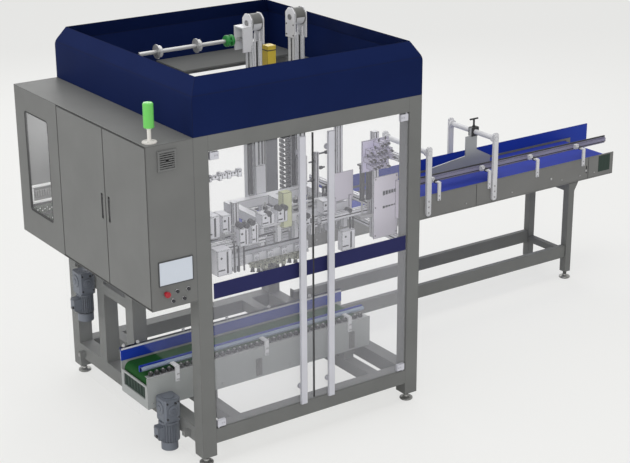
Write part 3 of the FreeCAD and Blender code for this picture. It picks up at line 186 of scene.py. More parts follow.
# --- Levelling feet ---
# Each post stands on a zinc plated foot: a pressed disc with a coned hub and a threaded stem
# held by a lock nut under the post. Like every piece from here on, it is drawn in millimetres.
LEFT, RIGHT, FRONT, BACK, DOWN, UP = (-1, 0, 0), (1, 0, 0), (0, -1, 0), (0, 1, 0), (0, 0, -1), (0, 0, 1)


def corners(name):
    """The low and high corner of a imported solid, in millimetres."""
    return [corner * 1000 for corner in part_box(name)]


def turned(mesh, foot, axis, profile, sides=32):
    """A turned form: (along, radius) corners swung round an axis that starts at foot. Where one of
    foot's coordinates is a tuple of values, a copy is made at each of them."""
    axis = Vector(axis).normalized()
    across = axis.orthogonal().normalized()
    beside = axis.cross(across)
    turns = [2 * math.pi * step / sides for step in range(sides)]
    for spot in itertools.product(*[each if isinstance(each, tuple) else (each,) for each in foot]):
        rings = []
        for along, radius in profile:
            base = Vector(spot) + axis * along
            corners_round = [base + across * (radius * math.cos(turn)) + beside * (radius * math.sin(turn))
                             for turn in turns] if radius > 0 else [base]
            rings.append([mesh.verts.new(corner) for corner in corners_round])
        for low, high in zip(rings, rings[1:]):
            for step in range(sides):
                after = (step + 1) % sides
                loop = list(dict.fromkeys((low[step % len(low)], low[after % len(low)],
                                           high[after % len(high)], high[step % len(high)])))
                if len(loop) > 2:
                    mesh.faces.new(loop)
        for ring in (rings[0], rings[-1]):
            if len(ring) > 1:
                mesh.faces.new(ring)


def finished(name, mesh, finish, body="machine", swaps=()):
    """Turn a mesh built in millimetres into a piece of the machine that rides on a body. Its corners
    are rounded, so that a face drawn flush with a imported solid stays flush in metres."""
    bmesh.ops.remove_doubles(mesh, verts=mesh.verts, dist=0.001)
    bmesh.ops.recalc_face_normals(mesh, faces=mesh.faces)
    for vertex in mesh.verts:
        vertex.co = [round(part / 1000, 7) for part in vertex.co]
    data = bpy.data.meshes.new(name)
    mesh.to_mesh(data)
    mesh.free()
    data.polygons.foreach_set("use_smooth", [True] * len(data.polygons))
    data.set_sharp_from_angle(angle=math.radians(32))
    data.materials.append(finish)
    piece = bpy.data.objects.new(name, data)
    bpy.context.scene.collection.objects.link(piece)
    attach(piece, body)
    if swaps:
        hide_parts(*swaps)


foot_zinc = coated("foot_zinc", (0.3, 0.3, 0.29), 0.38, "foot_steel", metallic=0.7, edge=0.3)
FOOT_RADIUS, FOOT_LIFT, STEM, THREAD_PITCH = 45, 60, 13.5, 2
leg_low, leg_high = corners("infeed_stand")
mesh = bmesh.new()
for x, y in ((0, 0), (1600, 0), (0, 1700), (1600, 1700),
             (leg_high.x - 65, leg_low.y + 30), (leg_high.x - 65, leg_high.y - 30)):
    turned(mesh, (x, y, 0), UP, [
        (0, FOOT_RADIUS - 4), (4, FOOT_RADIUS), (12, FOOT_RADIUS), (15, FOOT_RADIUS - 3),
        (22, 20), (30, 15.5), (34, 15.5), (34, 13)], 40)
    thread = [(34, STEM)]
    for turn in range(8):
        thread += [(34.5 + turn * THREAD_PITCH, STEM + 1.3), (35.5 + turn * THREAD_PITCH, STEM)]
    turned(mesh, (x, y, 0), UP, thread, 24)
    turned(mesh, (x, y, 50), UP, [(0, 17), (1.5, 18.5), (8.5, 18.5), (FOOT_LIFT - 50, 17)], 6)
finished("foot_discs", mesh, foot_zinc, swaps=("levelling_feet",))


# --- Roof hood ---
# Four folded steel panels in navy powder coat, mitred at the corners, with a rolled shoulder
# that leans inwards. The solids already have the folds, so they only take the coat.
navy_coat = coated("navy_coat", (0.0055, 0.0132, 0.066), 0.6, edge=0.4, Specular_IOR_Level=0.05)
dress(navy_coat, "hood_front", "hood_rear", "hood_left", "hood_right")


# --- Side cabinet ---
# Folded sheet steel in the same grey, hung on the frame's left side. Two leaves with sunk swing
# grips, rubber seals in the joints, and a fixed panel beside them.
def block(mesh, x, y, z, bevel=0.0, segments=1):
    """A block between (low, high) on each axis, its edges broken by a small bevel."""
    made = bmesh.ops.create_cube(mesh, size=1)["verts"]
    for vertex in made:
        for axis, (low, high) in enumerate((x, y, z)):
            vertex.co[axis] = low if vertex.co[axis] < 0 else high
    if bevel:
        edges = list(dict.fromkeys(edge for vertex in made for edge in vertex.link_edges))
        bmesh.ops.bevel(mesh, geom=edges, offset=bevel, segments=segments, affect="EDGES", profile=0.5)


cabinet_coat = coated("cabinet_coat", (0.164, 0.166, 0.162), 0.55, edge=0.4, Specular_IOR_Level=0.2)
dress(cabinet_coat, "cabinet_top", "cabinet_bottom", "cabinet_back", "cabinet_front_end", "cabinet_rear_end",
      "cabinet_partition", "front_cabinet_door", "rear_cabinet_door", "window_panel")
seal_rubber = coated("seal_rubber", (0.04, 0.04, 0.04), 0.75, "button_black", edge=0, dent=0.15)
cab_low, cab_high = corners("cabinet_top")
cab_side, cab_base, cab_roof = cab_low.x, corners("cabinet_bottom")[0].z, cab_high.z
front_leaf, rear_leaf = corners("front_cabinet_door"), corners("rear_cabinet_door")
mesh = bmesh.new()
for y in (front_leaf[0].y - 9.5, rear_leaf[1].y + 4.5):
    block(mesh, (cab_side + 4, cab_side + 19), (y, y + 5), (cab_base + 4, cab_roof - 4), 2)
for z in (cab_base + 3.5, cab_roof - 12.5):
    block(mesh, (cab_side + 4, cab_side + 19), (front_leaf[0].y, rear_leaf[1].y), (z, z + 9), 2)
finished("cabinet_seals", mesh, seal_rubber)
mesh = bmesh.new()
block(mesh, (cab_side + 4, cab_side + 17), (rear_leaf[0].y - 8.5, rear_leaf[0].y + 0.5),
      (rear_leaf[0].z + 2, rear_leaf[1].z - 2), 2)
finished("leaf_seal", mesh, seal_rubber, "rear_cabinet_leaf")

grip_black = coated("grip_black", (0.03, 0.03, 0.032), 0.4, "button_black", edge=0.3)
for name, body, low in (("front_grip", "front_cabinet_leaf", front_leaf[1].y - 52),
                        ("rear_grip", "rear_cabinet_leaf", rear_leaf[0].y + 28)):
    z = cab_base + 425
    mesh = bmesh.new()
    for y in (low + 1.2, low + 19.5):
        block(mesh, (cab_side + 0.5, cab_side + 7.2), (y, y + 3.3), (z + 2, z + 162), 0.6)
    block(mesh, (cab_side + 1.5, cab_side + 7.2), (low + 7.5, low + 16.5), (z + 20, z + 128), 1.8, 2)
    turned(mesh, (cab_side + 7.5, low + 12, z + 143), LEFT, [
        (0, 8.5), (5, 8.5), (6, 7.5), (6, 3), (4, 3)], 24)
    finished(name, mesh, grip_black, body)


# --- Cabinet window ---
# A clear pane in a rubber seal with rounded corners. Wire ducts, a mounting plate and two rows
# of terminals show through it, screwed to the cabinet's rear end sheet.
def clear(name, tint, haze):
    """A clear sheet with a faint milky haze, as scratched acrylic has."""
    finish = bpy.data.materials.new(name)
    finish.use_nodes = True
    tree = finish.node_tree
    shader = tree.nodes["Principled BSDF"]
    shader.inputs["Roughness"].default_value = 0.15
    shader.inputs["Specular IOR Level"].default_value = 0.3
    place = added(tree, "TexCoord").outputs["Object"]
    smear = added(tree, "TexNoise", [("Vector", place)], Scale=2.5).outputs["Fac"]
    shades = added(tree, "ValToRGB", [("Fac", smear)])
    shades.color_ramp.elements[0].color = (*[band * 0.96 for band in tint], 1)
    shades.color_ramp.elements[1].color = (*tint, 1)
    tree.links.new(shades.outputs["Color"], shader.inputs["Base Color"])
    amount = added(tree, "MapRange", [("Value", smear)], To_Min=haze * 0.85, To_Max=haze * 1.15)
    through = added(tree, "BsdfTransparent")
    sheet = added(tree, "MixShader", [(0, amount.outputs["Result"]), (1, through.outputs[0]),
                                      (2, shader.outputs[0])])
    tree.links.new(sheet.outputs[0], tree.nodes["Material Output"].inputs["Surface"])
    return finish


window_acrylic = clear("window_acrylic", (0.72, 0.72, 0.74), 0.12)
dress(window_acrylic, "window_pane")
low, high = corners("window_pane")
CORNER_RADIUS = 26
y_low, y_high, z_low, z_high = (low.y + CORNER_RADIUS, high.y - CORNER_RADIUS,
                                low.z + CORNER_RADIUS, high.z - CORNER_RADIUS)
mesh, rings = bmesh.new(), []
for inset, depth in ((0, 13), (0, 1.5), (2, 0.3), (10, 1.2), (12, 4), (12, 13)):
    rings.append([])
    for y, z, start in ((y_high, z_high, 0), (y_low, z_high, 90), (y_low, z_low, 180), (y_high, z_low, 270)):
        for step in range(9):
            angle, reach = math.radians(start + 11.25 * step), CORNER_RADIUS - inset
            spot = (cab_side + depth, y + reach * math.cos(angle), z + reach * math.sin(angle))
            rings[-1].append(mesh.verts.new(spot))
for outer, inner in zip(rings, rings[1:] + rings[:1]):
    for step in range(len(outer)):
        mesh.faces.new((outer[step - 1], outer[step], inner[step], inner[step - 1]))
finished("window_seal", mesh, seal_rubber)

duct_white = coated("duct_white", (0.95, 0.95, 0.94), 0.5, "white_guide", edge=0.3)
rear_face = corners("cabinet_rear_end")[1].y - 3
duct_left, duct_right, duct_depth = cab_side + 63.5, -53.5, (rear_face - 25.8, rear_face - 0.1)
mesh = bmesh.new()
for level in (cab_base + 175.5, cab_base + 287.5):
    block(mesh, (duct_left, duct_right), duct_depth, (level, level + 13), 1)
block(mesh, (duct_left, duct_left + 13), duct_depth, (cab_base + 188.5, cab_base + 287.5), 1)
for slit in range(14):
    x = duct_left + 20 + slit * 16.5
    block(mesh, (x, x + 4), (rear_face - 26.6, rear_face - 25.7), (cab_base + 288.5, cab_base + 299.5))
finished("cable_ducts", mesh, duct_white)
plate_zinc = coated("plate_zinc", (0.36, 0.36, 0.35), 0.4, "zinc_steel", metallic=0.4, edge=0.3)
mesh = bmesh.new()
block(mesh, (duct_left + 16, duct_right - 10), (rear_face - 3, rear_face - 0.5),
      (cab_base + 192, cab_base + 284), 0.8)
for relay in range(11):
    x = duct_left + 25 + relay * 18
    block(mesh, (x, x + 14), (rear_face - 22, rear_face - 3), (cab_base + 218, cab_base + 262), 2)
finished("mounting_plate", mesh, plate_zinc)
terminal_green = coated("terminal_green", (0.10, 0.13, 0.09), 0.5, "filter_grey", edge=0.6)
mesh, tags = bmesh.new(), bmesh.new()
for level in (cab_base + 30, cab_base + 105):
    for terminal in range(13):
        x, tag = duct_left + 4 + terminal * 17.6, level + 12 + 9 * (terminal % 3)
        block(mesh, (x, x + 14.5), (rear_face - 34, rear_face - 1), (level, level + 46), 2)
        block(tags, (x + 3, x + 11.5), (rear_face - 36, rear_face - 33.5), (tag, tag + 8), 0.8)
finished("terminal_rows", mesh, terminal_green)
finished("terminal_tags", tags, duct_white)


# --- Operator panel ---
# A touch screen in a thin bezel, four black buttons and a red mushroom stop button in chromed
# rings, and a louvred fan filter near the top, all on the cabinet's front end.
def pin(mesh, foot, axis, radius, length, sides=12):
    """A round bar with broken end edges."""
    edge = min(radius, length) * 0.15
    turned(mesh, foot, axis, [
        (0, radius - edge), (edge, radius), (length - edge, radius), (length, radius - edge)], sides)


def round_spots(count, reach, start=0):
    """Evenly spaced (across, up) places on a circle."""
    turns = [math.radians(start + 360 * step / count) for step in range(count)]
    return [(reach * math.cos(turn), reach * math.sin(turn)) for turn in turns]


PANEL_FACE, BEZEL = -50, 6
bezel_grey = coated("bezel_grey", (0.06, 0.062, 0.066), 0.4, "button_black", edge=0.3)
screen_face = coated("screen_face", (0.60, 0.645, 0.715), 0.18, "screen_glass", edge=0, speckle=0.02, dent=0)
(left, front, low), (right, back, high) = corners("touch_screen")
across, upright = (left, right), (low + BEZEL, high - BEZEL)
mesh = bmesh.new()
for x, z in ((across, (low, low + BEZEL)), (across, (high - BEZEL, high)),
             ((left, left + BEZEL), upright), ((right - BEZEL, right), upright)):
    block(mesh, x, (front, PANEL_FACE), z, 1.5, 2)
finished("screen_bezel", mesh, bezel_grey, swaps=("touch_screen",))
mesh = bmesh.new()
block(mesh, (left + BEZEL - 1, right - BEZEL + 1), (front + 1.8, PANEL_FACE),
      (low + BEZEL - 1, high - BEZEL + 1), 0.8)
finished("screen_glass", mesh, screen_face)

ring_chrome = coated("ring_chrome", (0.42, 0.42, 0.43), 0.25, "zinc_steel", metallic=0.8, edge=0)
button_black = coated("button_black", (0.02, 0.02, 0.025), 0.3, "button_black", edge=0)
stop_red = coated("stop_red", (0.36, 0.008, 0.02), 0.3, "stop_red", edge=0)
mesh, caps = bmesh.new(), bmesh.new()
for x, z in (((-194, -118), 1236), ((-224, -148), 1181)):
    turned(mesh, (x, PANEL_FACE, z), FRONT, [(0, 14), (4, 14), (6, 12.5), (6, 10.8), (3, 10.8)])
    turned(caps, (x, PANEL_FACE - 3, z), FRONT, [(0, 10.6), (10.5, 10.6), (12.5, 9.2), (13, 6), (12.5, 0)])
finished("button_rings", mesh, ring_chrome)
finished("button_caps", caps, button_black, swaps=("push_buttons",))
mesh = bmesh.new()
turned(mesh, (-270, PANEL_FACE, 1236), FRONT, [
    (0, 13), (14, 13), (16, 17.5), (19, 19), (28, 19), (32, 17), (34, 11), (33.8, 0)], 40)
finished("stop_mushroom", mesh, stop_red, swaps=("stop_button",))

filter_moulding = coated("filter_moulding", (0.15, 0.152, 0.15), 0.6, edge=0.4)
dress(filter_moulding, "fan_filter")
fan_black = coated("fan_black", (0.028, 0.028, 0.03), 0.7, "filter_grey", edge=0.2)
low, high = corners("fan_filter")
centre = Vector(((low.x + high.x) / 2, low.y + 2.8, (low.z + high.z) / 2))
mesh = bmesh.new()
for reach in (46, 34, 22):
    turned(mesh, centre, FRONT, [(0, reach), (2.6, reach), (2.6, reach - 3), (0, reach - 3)], 40)
for x, z in round_spots(6, 46, 15):
    pin(mesh, centre + Vector((0, -1.3, 0)), (x, 0, z), 1.2, 44, sides=8)
turned(mesh, centre, FRONT, [(0, 12), (2.6, 12), (2.8, 10), (2.8, 0)], 24)
finished("fan_guard", mesh, fan_black)


# --- Signal beacon ---
# One green lens of ribbed plastic under a cap, on a white tube with a round screwed flange.
# Four small screws hold the flange on the cabinet's top.
def screw(mesh, seat, axis, size):
    """A hexagon screw head on its washer, standing off its seat along an axis."""
    turned(mesh, seat, axis, [(0, size * 1.2), (size * 0.22, size * 1.2), (size * 0.3, size * 1.1),
                              (size * 0.3, size * 0.8)], 20)
    turned(mesh, seat, axis, [(size * 0.25, size), (size * 0.85, size), (size, size * 0.8)], 6)


low, high = corners("beacon_lamp")
beacon_x, beacon_y = (low.x + high.x) / 2, (low.y + high.y) / 2
lens_green = coated("lens_green", (0.13, 0.52, 0.095), 0.3, "beacon_green", edge=0, speckle=0.03)
profile = [(0, 24), (2, 30), (6, 32)]
for rib in range(11):
    level = 10 + rib * 11.5
    profile += [(level, 32), (level + 3, 31.2), (level + 8, 31.2)]
profile += [(138, 32), (144, 31.2), (150, 26), (152, 18), (152, 0)]
mesh = bmesh.new()
turned(mesh, (beacon_x, beacon_y, low.z), UP, profile, 48)
finished("beacon_lens", mesh, lens_green, swaps=("beacon_lamp",))
pole_white = coated("pole_white", (0.70, 0.68, 0.64), 0.4, "beacon_white", edge=0.2)
flange = corners("beacon_pole")[0].z
mesh = bmesh.new()
turned(mesh, (beacon_x, beacon_y, flange), UP, [
    (0, 45), (6, 45), (9, 42), (10, 20), (14, 13.5), (18, 12), (80, 12), (81, 16), (88, 16)], 48)
for x, y in round_spots(4, 32, 45):
    screw(mesh, (beacon_x + x, beacon_y + y, flange + 9.5), UP, 4)
finished("beacon_stand", mesh, pole_white, swaps=("beacon_pole",))


# --- Front doors ---
# Two frameless leaves of clear acrylic on corner patches, each with a full height pull bar, and
# a plain navy film band across both at chest height.
door_acrylic = clear("door_acrylic", (0.88, 0.88, 0.94), 0.10)
dress(door_acrylic, "left_door", "right_door")
door_steel = coated("door_steel", (0.60, 0.60, 0.65), 0.42, "door_steel", metallic=0.25, edge=0.5)
dress(door_steel, "left_door_fittings", "right_door_fittings", "hinge_pins")
film_navy = coated("film_navy", (0.024, 0.026, 0.095), 0.55, "hood_navy", edge=0, Specular_IOR_Level=0.08)
BAND = (1120, 1222)
for side in ("left", "right"):
    low, high = corners(f"{side}_door")
    mesh = bmesh.new()
    block(mesh, (low.x + 2, high.x - 2), (low.y - 0.8, low.y), BAND, 0.3)
    finished(f"{side}_band", mesh, film_navy, f"{side}_leaf")
for side, pull_x in (("left", 692), ("right", 908)):
    low, high = corners(f"{side}_door")
    if side == "left":
        screw_x, seam = (low.x + 34, low.x + 50), high.x
    else:
        screw_x, seam = (high.x - 50, high.x - 34), low.x
    pull_ends = (low.z + 110, high.z - 110)
    mesh = bmesh.new()
    turned(mesh, (pull_x, low.y, pull_ends), FRONT, [(0, 17.5), (3, 17.5), (5, 15.5), (5, 9)])
    turned(mesh, (pull_x, high.y, pull_ends), BACK, [(0, 17.5), (4, 17.5), (6, 15.5), (6, 0)])
    screw(mesh, (screw_x, low.y - 6, (low.z + 23, high.z - 23)), FRONT, 4)
    finished(f"{side}_door_collars", mesh, door_steel, f"{side}_leaf")
    mesh = bmesh.new()
    block(mesh, (seam - 2, seam + 2), (low.y - 1, high.y + 1), (low.z + 2, high.z - 2), 0.6)
    finished(f"{side}_door_seal", mesh, seal_rubber, f"{side}_leaf")


# --- Clear guards ---
# Clear sheets under the cabinet and across the rear. Zinc plated clamps with one screw each
# hold them to the frame.
guard_acrylic = clear("guard_acrylic", (0.80, 0.83, 0.84), 0.025)
dress(guard_acrylic, "clear_guards")
sheet_face = corners("clear_guards")[0].x
mesh = bmesh.new()
for y, z in ((870, 1008), (1280, 1008), (120, 185), (1580, 185)):
    block(mesh, (sheet_face + 1, sheet_face + 48), (y - 16, y + 16), (z - 16, z + 16), 3)
    screw(mesh, (sheet_face + 6.5, y, z), LEFT, 5)
finished("guard_clamps", mesh, foot_zinc)


# --- Product infeed conveyor ---
# Two folded stainless side plates with a flat blue belt between them. Lips stiffen the plates,
# rods tie them, and flanged bearings carry the end rollers.
plate_steel = coated("plate_steel", (0.190, 0.190, 0.185), 0.45, "plate_steel", metallic=0.15, edge=0.5,
                     Specular_IOR_Level=0.3)
dress(plate_steel, "infeed_side_plates")
belt_blue = coated("belt_blue", (0.027, 0.048, 0.34), 0.7, edge=0.4, grain_scale=1400, dent=0.2,
                   Specular_IOR_Level=0.15)
dress(belt_blue, "infeed_belt")
roller_steel = coated("roller_steel", (0.5, 0.5, 0.5), 0.35, "roller_steel", metallic=0.6, edge=0.4)
dress(roller_steel, "belt_rollers")
(feed_left, feed_near, feed_base), (feed_right, feed_far, feed_top) = corners("infeed_side_plates")
mesh = bmesh.new()
for y in (feed_near - 1.5, feed_far):
    for z in (feed_base, feed_top - 9):
        block(mesh, (feed_left + 2, feed_right - 2), (y, y + 1.5), (z, z + 9), 0.6)
finished("infeed_lips", mesh, plate_steel)
rods, rod_level = (350, 950, 1550, 2050, 2450, 2950, 3420, 3950, 4150, 4310), feed_base + 45
mesh = bmesh.new()
screw(mesh, (rods, feed_near, rod_level), FRONT, 5.5)
screw(mesh, (rods, feed_far, rod_level), BACK, 5.5)
pin(mesh, (rods, feed_near + 6, rod_level), BACK, 10, feed_far - feed_near - 12, sides=20)
turned(mesh, ((3833, 4217.5), feed_near, 905), FRONT, [(0, 10), (3, 10), (4, 8), (4, 0)], 24)
for y, way in ((feed_near, FRONT), (feed_far, BACK)):
    turned(mesh, (128, y, 929), way, [(0, 45), (6, 45), (8, 42), (8, 26), (16, 22), (16, 0)])
finished("infeed_bolts", mesh, roller_steel)
joint_black = coated("joint_black", (0.014, 0.014, 0.015), 0.6, "button_black", edge=0)
mesh = bmesh.new()
for x in (1800, 3050, 4240):
    for y in (feed_near - 1.8, feed_far + 0.2):
        block(mesh, (x, x + 3), (y, y + 1.6), (feed_base + 1, feed_top - 1), 0.3)
finished("infeed_joints", mesh, joint_black)
drum_green = coated("drum_green", (0.010, 0.030, 0.020), 0.6, "belt_green", edge=0.5)
mesh = bmesh.new()
for y in (feed_near - 1.2, feed_far - 2):
    block(mesh, (4354, 4484), (y, y + 3.2), (868, 1004), 1)
    for x in (4380, 4416, 4452):
        block(mesh, (x, x + 6), (y - 0.3, y + 3.5), (885, 990), 0.5)
finished("drum_covers", mesh, drum_green)


# --- Infeed stand ---
# Welded square tube in the frame's grey: flared legs, ties and two long rails back to the frame.
# Screwed plates join it to the side plates above and to the frame's post.
mesh = bmesh.new()
for y in (feed_near, feed_far - 60):
    block(mesh, (4032, 4139), (y, y + 60), (feed_base - 6, feed_base - 0.2), 1)
    screw(mesh, ((4048, 4085, 4122), y + 30, feed_base - 6), DOWN, 6)
    block(mesh, (1650, 1656), (y + 5, y + 55), (170, 310), 1)
    screw(mesh, (1656, y + 30, (180, 300)), RIGHT, 6)
finished("stand_plates", mesh, frame_coat)


# --- Guide rail, brackets and far guard ---
# A plastic wear strip in an aluminium channel, set by hand knobs on cranked steel brackets, and
# a folded blue guard bolted along the far plate.
guide_lilac = coated("guide_lilac", (0.24, 0.23, 0.33), 0.5, edge=0.8, line=5)
dress(guide_lilac, "near_guide_rail")
bracket_white = coated("bracket_white", (0.66, 0.66, 0.68), 0.5, "white_guide", edge=0.75)
dress(bracket_white, "guide_brackets", "first_gantry", "second_gantry")
guard_blue = coated("guard_blue", (0.012, 0.042, 0.36), 0.5, "guard_blue", edge=0.5, Specular_IOR_Level=0.2)
dress(guard_blue, "far_guard")
(left, near, base), (right, far, top) = corners("near_guide_rail")
mesh = bmesh.new()
block(mesh, (left, right), (far - 10.2, far + 0.2), (top - 10, top + 0.4), 0.8)
block(mesh, (left, right), (near - 0.4, near + 10.4), (base + 13, base + 19), 0.8)
finished("rail_edging", mesh, joint_black)
knob_black = coated("knob_black", (0.022, 0.022, 0.024), 0.45, "button_black", edge=0.2)
brackets = tuple(2175 + 500 * count for count in range(5))
knobs, clamps = bmesh.new(), bmesh.new()
for x in brackets:
    block(clamps, (x - 19, x + 19), (near - 28, near + 2), (1076, 1114), 3)
pin(clamps, (brackets, near - 52, 1095), BACK, 5, 30, sides=20)
turned(knobs, (brackets, near - 70, 1095), BACK, [(0, 10), (3, 16.5), (14, 17.5), (18, 12), (22, 8)], 10)
screw(clamps, (brackets, feed_near - 10, (962, 992)), FRONT, 5)
finished("guide_knobs", knobs, knob_black)
finished("guide_clamps", clamps, bracket_white)
low, high = corners("far_guard")
mesh = bmesh.new()
block(mesh, (low.x, high.x), (low.y, high.y - 0.5), (high.z - 4, high.z - 0.2), 1)
screw(mesh, (tuple(low.x + 120 + step * 232 for step in range(12)), high.y, low.z + 25), BACK, 5)
finished("guard_hem", mesh, guard_blue)


# --- Gantries ---
# Two white steel posts and a cross tube each, bolted to the side plates. Collars lock the tube
# between the posts, and plastic caps close its ends.
low, high = corners("first_gantry")
posts, tube_level = (2567, 3220), high.z - 45
bolts, mesh = bmesh.new(), bmesh.new()
screw(bolts, (posts, low.y, (880, 925, 970)), FRONT, 6)
screw(bolts, (posts, high.y, (880, 925, 970)), BACK, 6)
for y, way in ((low.y + 20, BACK), (high.y - 20, FRONT)):
    turned(mesh, (posts, y, tube_level), way, [(0, 30), (20, 30), (23, 27), (23, 19.5)])
for y, way in ((low.y, FRONT), (high.y, BACK)):
    turned(mesh, (posts, y, tube_level), way, [(0, 19), (1.2, 18), (1.2, 0)])
finished("gantry_bolts", bolts, roller_steel)
finished("gantry_collars", mesh, bracket_white)


# --- Lane divider ---
# A thin plate with a shaped top edge, hung from the second gantry by a black split clamp that a
# T handle tightens.
divider_steel = coated("divider_steel", (0.40, 0.41, 0.42), 0.4, metallic=0.3, edge=0.6)
dress(divider_steel, "divider_plate")
low, high = corners("divider_plate")
middle, clamp = (low.y + high.y) / 2, (3184, 3256)
mesh = bmesh.new()
for y in (low.y - 1, high.y - 9):
    block(mesh, clamp, (y, y + 10), (tube_level - 36, tube_level + 36), 4, 2)
block(mesh, clamp, (low.y + 9, high.y - 9), (tube_level + 33.5, tube_level + 36), 1)
screw(mesh, ((3196, 3244), low.y - 1, (tube_level - 26, tube_level + 26)), FRONT, 4)
pin(mesh, (3180, middle, high.z - 4.5), RIGHT, 6.8, 80, sides=20)
pin(mesh, (3220, middle, tube_level + 36), UP, 7.8, high.z - tube_level - 40, sides=20)
turned(mesh, (3220, middle, tube_level + 36), UP, [(0, 14), (8, 14), (12, 9)], 6)
finished("divider_clamp", mesh, knob_black)


# --- Case conveyor ---
# Stainless side plates with a green belt, a blue far guide under a white capping, a steel tube
# on cranked brackets at the near side, and small side rollers that steady the cases.
def sheet_form(mesh, outline, axis, low, thick):
    """A flat outline, cut from sheet of some thickness across the x or z axis."""
    rings = [[mesh.verts.new((level, a, b) if axis == "x" else (a, b, level)) for a, b in outline]
             for level in (low, low + thick)]
    for ring in rings:
        mesh.faces.new(ring)
    for step in range(len(outline)):
        mesh.faces.new((rings[0][step - 1], rings[0][step], rings[1][step], rings[1][step - 1]))


trough_steel = coated("trough_steel", (0.345, 0.36, 0.355), 0.45, metallic=0.1, edge=0.5,
                      Specular_IOR_Level=0.3)
dress(trough_steel, "case_side_plates")
belt_green = coated("belt_green", (0.010, 0.068, 0.014), 0.7, edge=0.5, dent=0.2, Specular_IOR_Level=0.15)
dress(belt_green, "case_belt")
dress(guard_blue, "case_guides")
(left, near, base), (right, far, top) = corners("case_side_plates")
guide = corners("case_guides")[1]
mesh = bmesh.new()
block(mesh, (left, right), (far - 13.5, guide.y), (guide.z - 14.2, guide.z), 2, 2)
block(mesh, (left + 2, right - 2), (near - 0.2, near + 8.2), (top - 0.5, top + 1.2), 0.5)
for x in (-206, -100, 240, 580, 920, 1260):
    block(mesh, (x, x + 18), (guide.y - 16, guide.y - 1), (guide.z - 2, guide.z + 20), 2)
finished("case_capping", mesh, bracket_white)
tube_steel = coated("tube_steel", (0.26, 0.32, 0.42), 0.4, "roller_steel", metallic=0.3, edge=0.5)
mesh = bmesh.new()
pin(mesh, (left, near + 80, top + 34), RIGHT, 14.6, right - left, sides=32)
finished("case_rail_tube", mesh, tube_steel)
mesh, axles = bmesh.new(), bmesh.new()
places = tuple(left + 45 + count * 44.5 for count in range(38))
turned(mesh, (places, near + 30, top + 2), UP, [(0, 14), (2, 17), (20, 17), (22, 14), (22, 0)], 16)
turned(axles, (places, near + 30, top + 24), UP, [(0, 6), (6, 6), (7, 4), (7, 0)], 6)
block(axles, (left + 10, right - 10), (near + 12, near + 48), (top - 3, top + 1), 0.8)
finished("side_rollers", mesh, knob_black)
finished("side_roller_axles", axles, roller_steel)
places = (-190, 150, 330, 860, 1060, 1430)
mesh = bmesh.new()
screw(mesh, ((5, 685, 1365), near - 8, (top - 58, top - 20)), FRONT, 5)
screw(mesh, (places, near, base + 35), FRONT, 6)
screw(mesh, (places, far, base + 35), BACK, 6)
finished("case_bolts", mesh, roller_steel)
mesh = bmesh.new()
for x in (592, 1352):
    block(mesh, (x, x + 45), (near - 6, near - 0.2), (top - 200, top - 80), 1)
    block(mesh, (x + 14, x + 31), (near - 12, near - 5), (top - 150, top - 100), 2)
    screw(mesh, (x + 22.5, near - 6, (top - 185, top - 92)), FRONT, 5)
finished("case_joint_plates", mesh, plate_steel)
arm = top + 34
mesh = bmesh.new()
for x in (left + 203.5, left + 883.5, left + 1563.5):
    sheet_form(mesh, [(near - 8.6, top - 70.6), (near + 0.4, top - 70.6), (near + 0.4, arm - 4.6),
                      (near + 66, arm - 4.6), (near + 66, arm + 4.6), (near - 8.6, arm + 4.6)], "x", x, 31)
    screw(mesh, (x + 15.5, near - 8.6, (top - 58, top - 20)), FRONT, 5)
finished("case_bracket_caps", mesh, bracket_white)
mesh = bmesh.new()
block(mesh, (left + 8.5, left + 10.5), (near + 10, far - 10), (base + 55, top - 72), 0.5)
for slit in range(7):
    y = near + 50 + slit * 40
    block(mesh, (left + 5, left + 9), (y, y + 6), (base + 66, top - 80), 1)
finished("case_end_cover", mesh, drum_green)


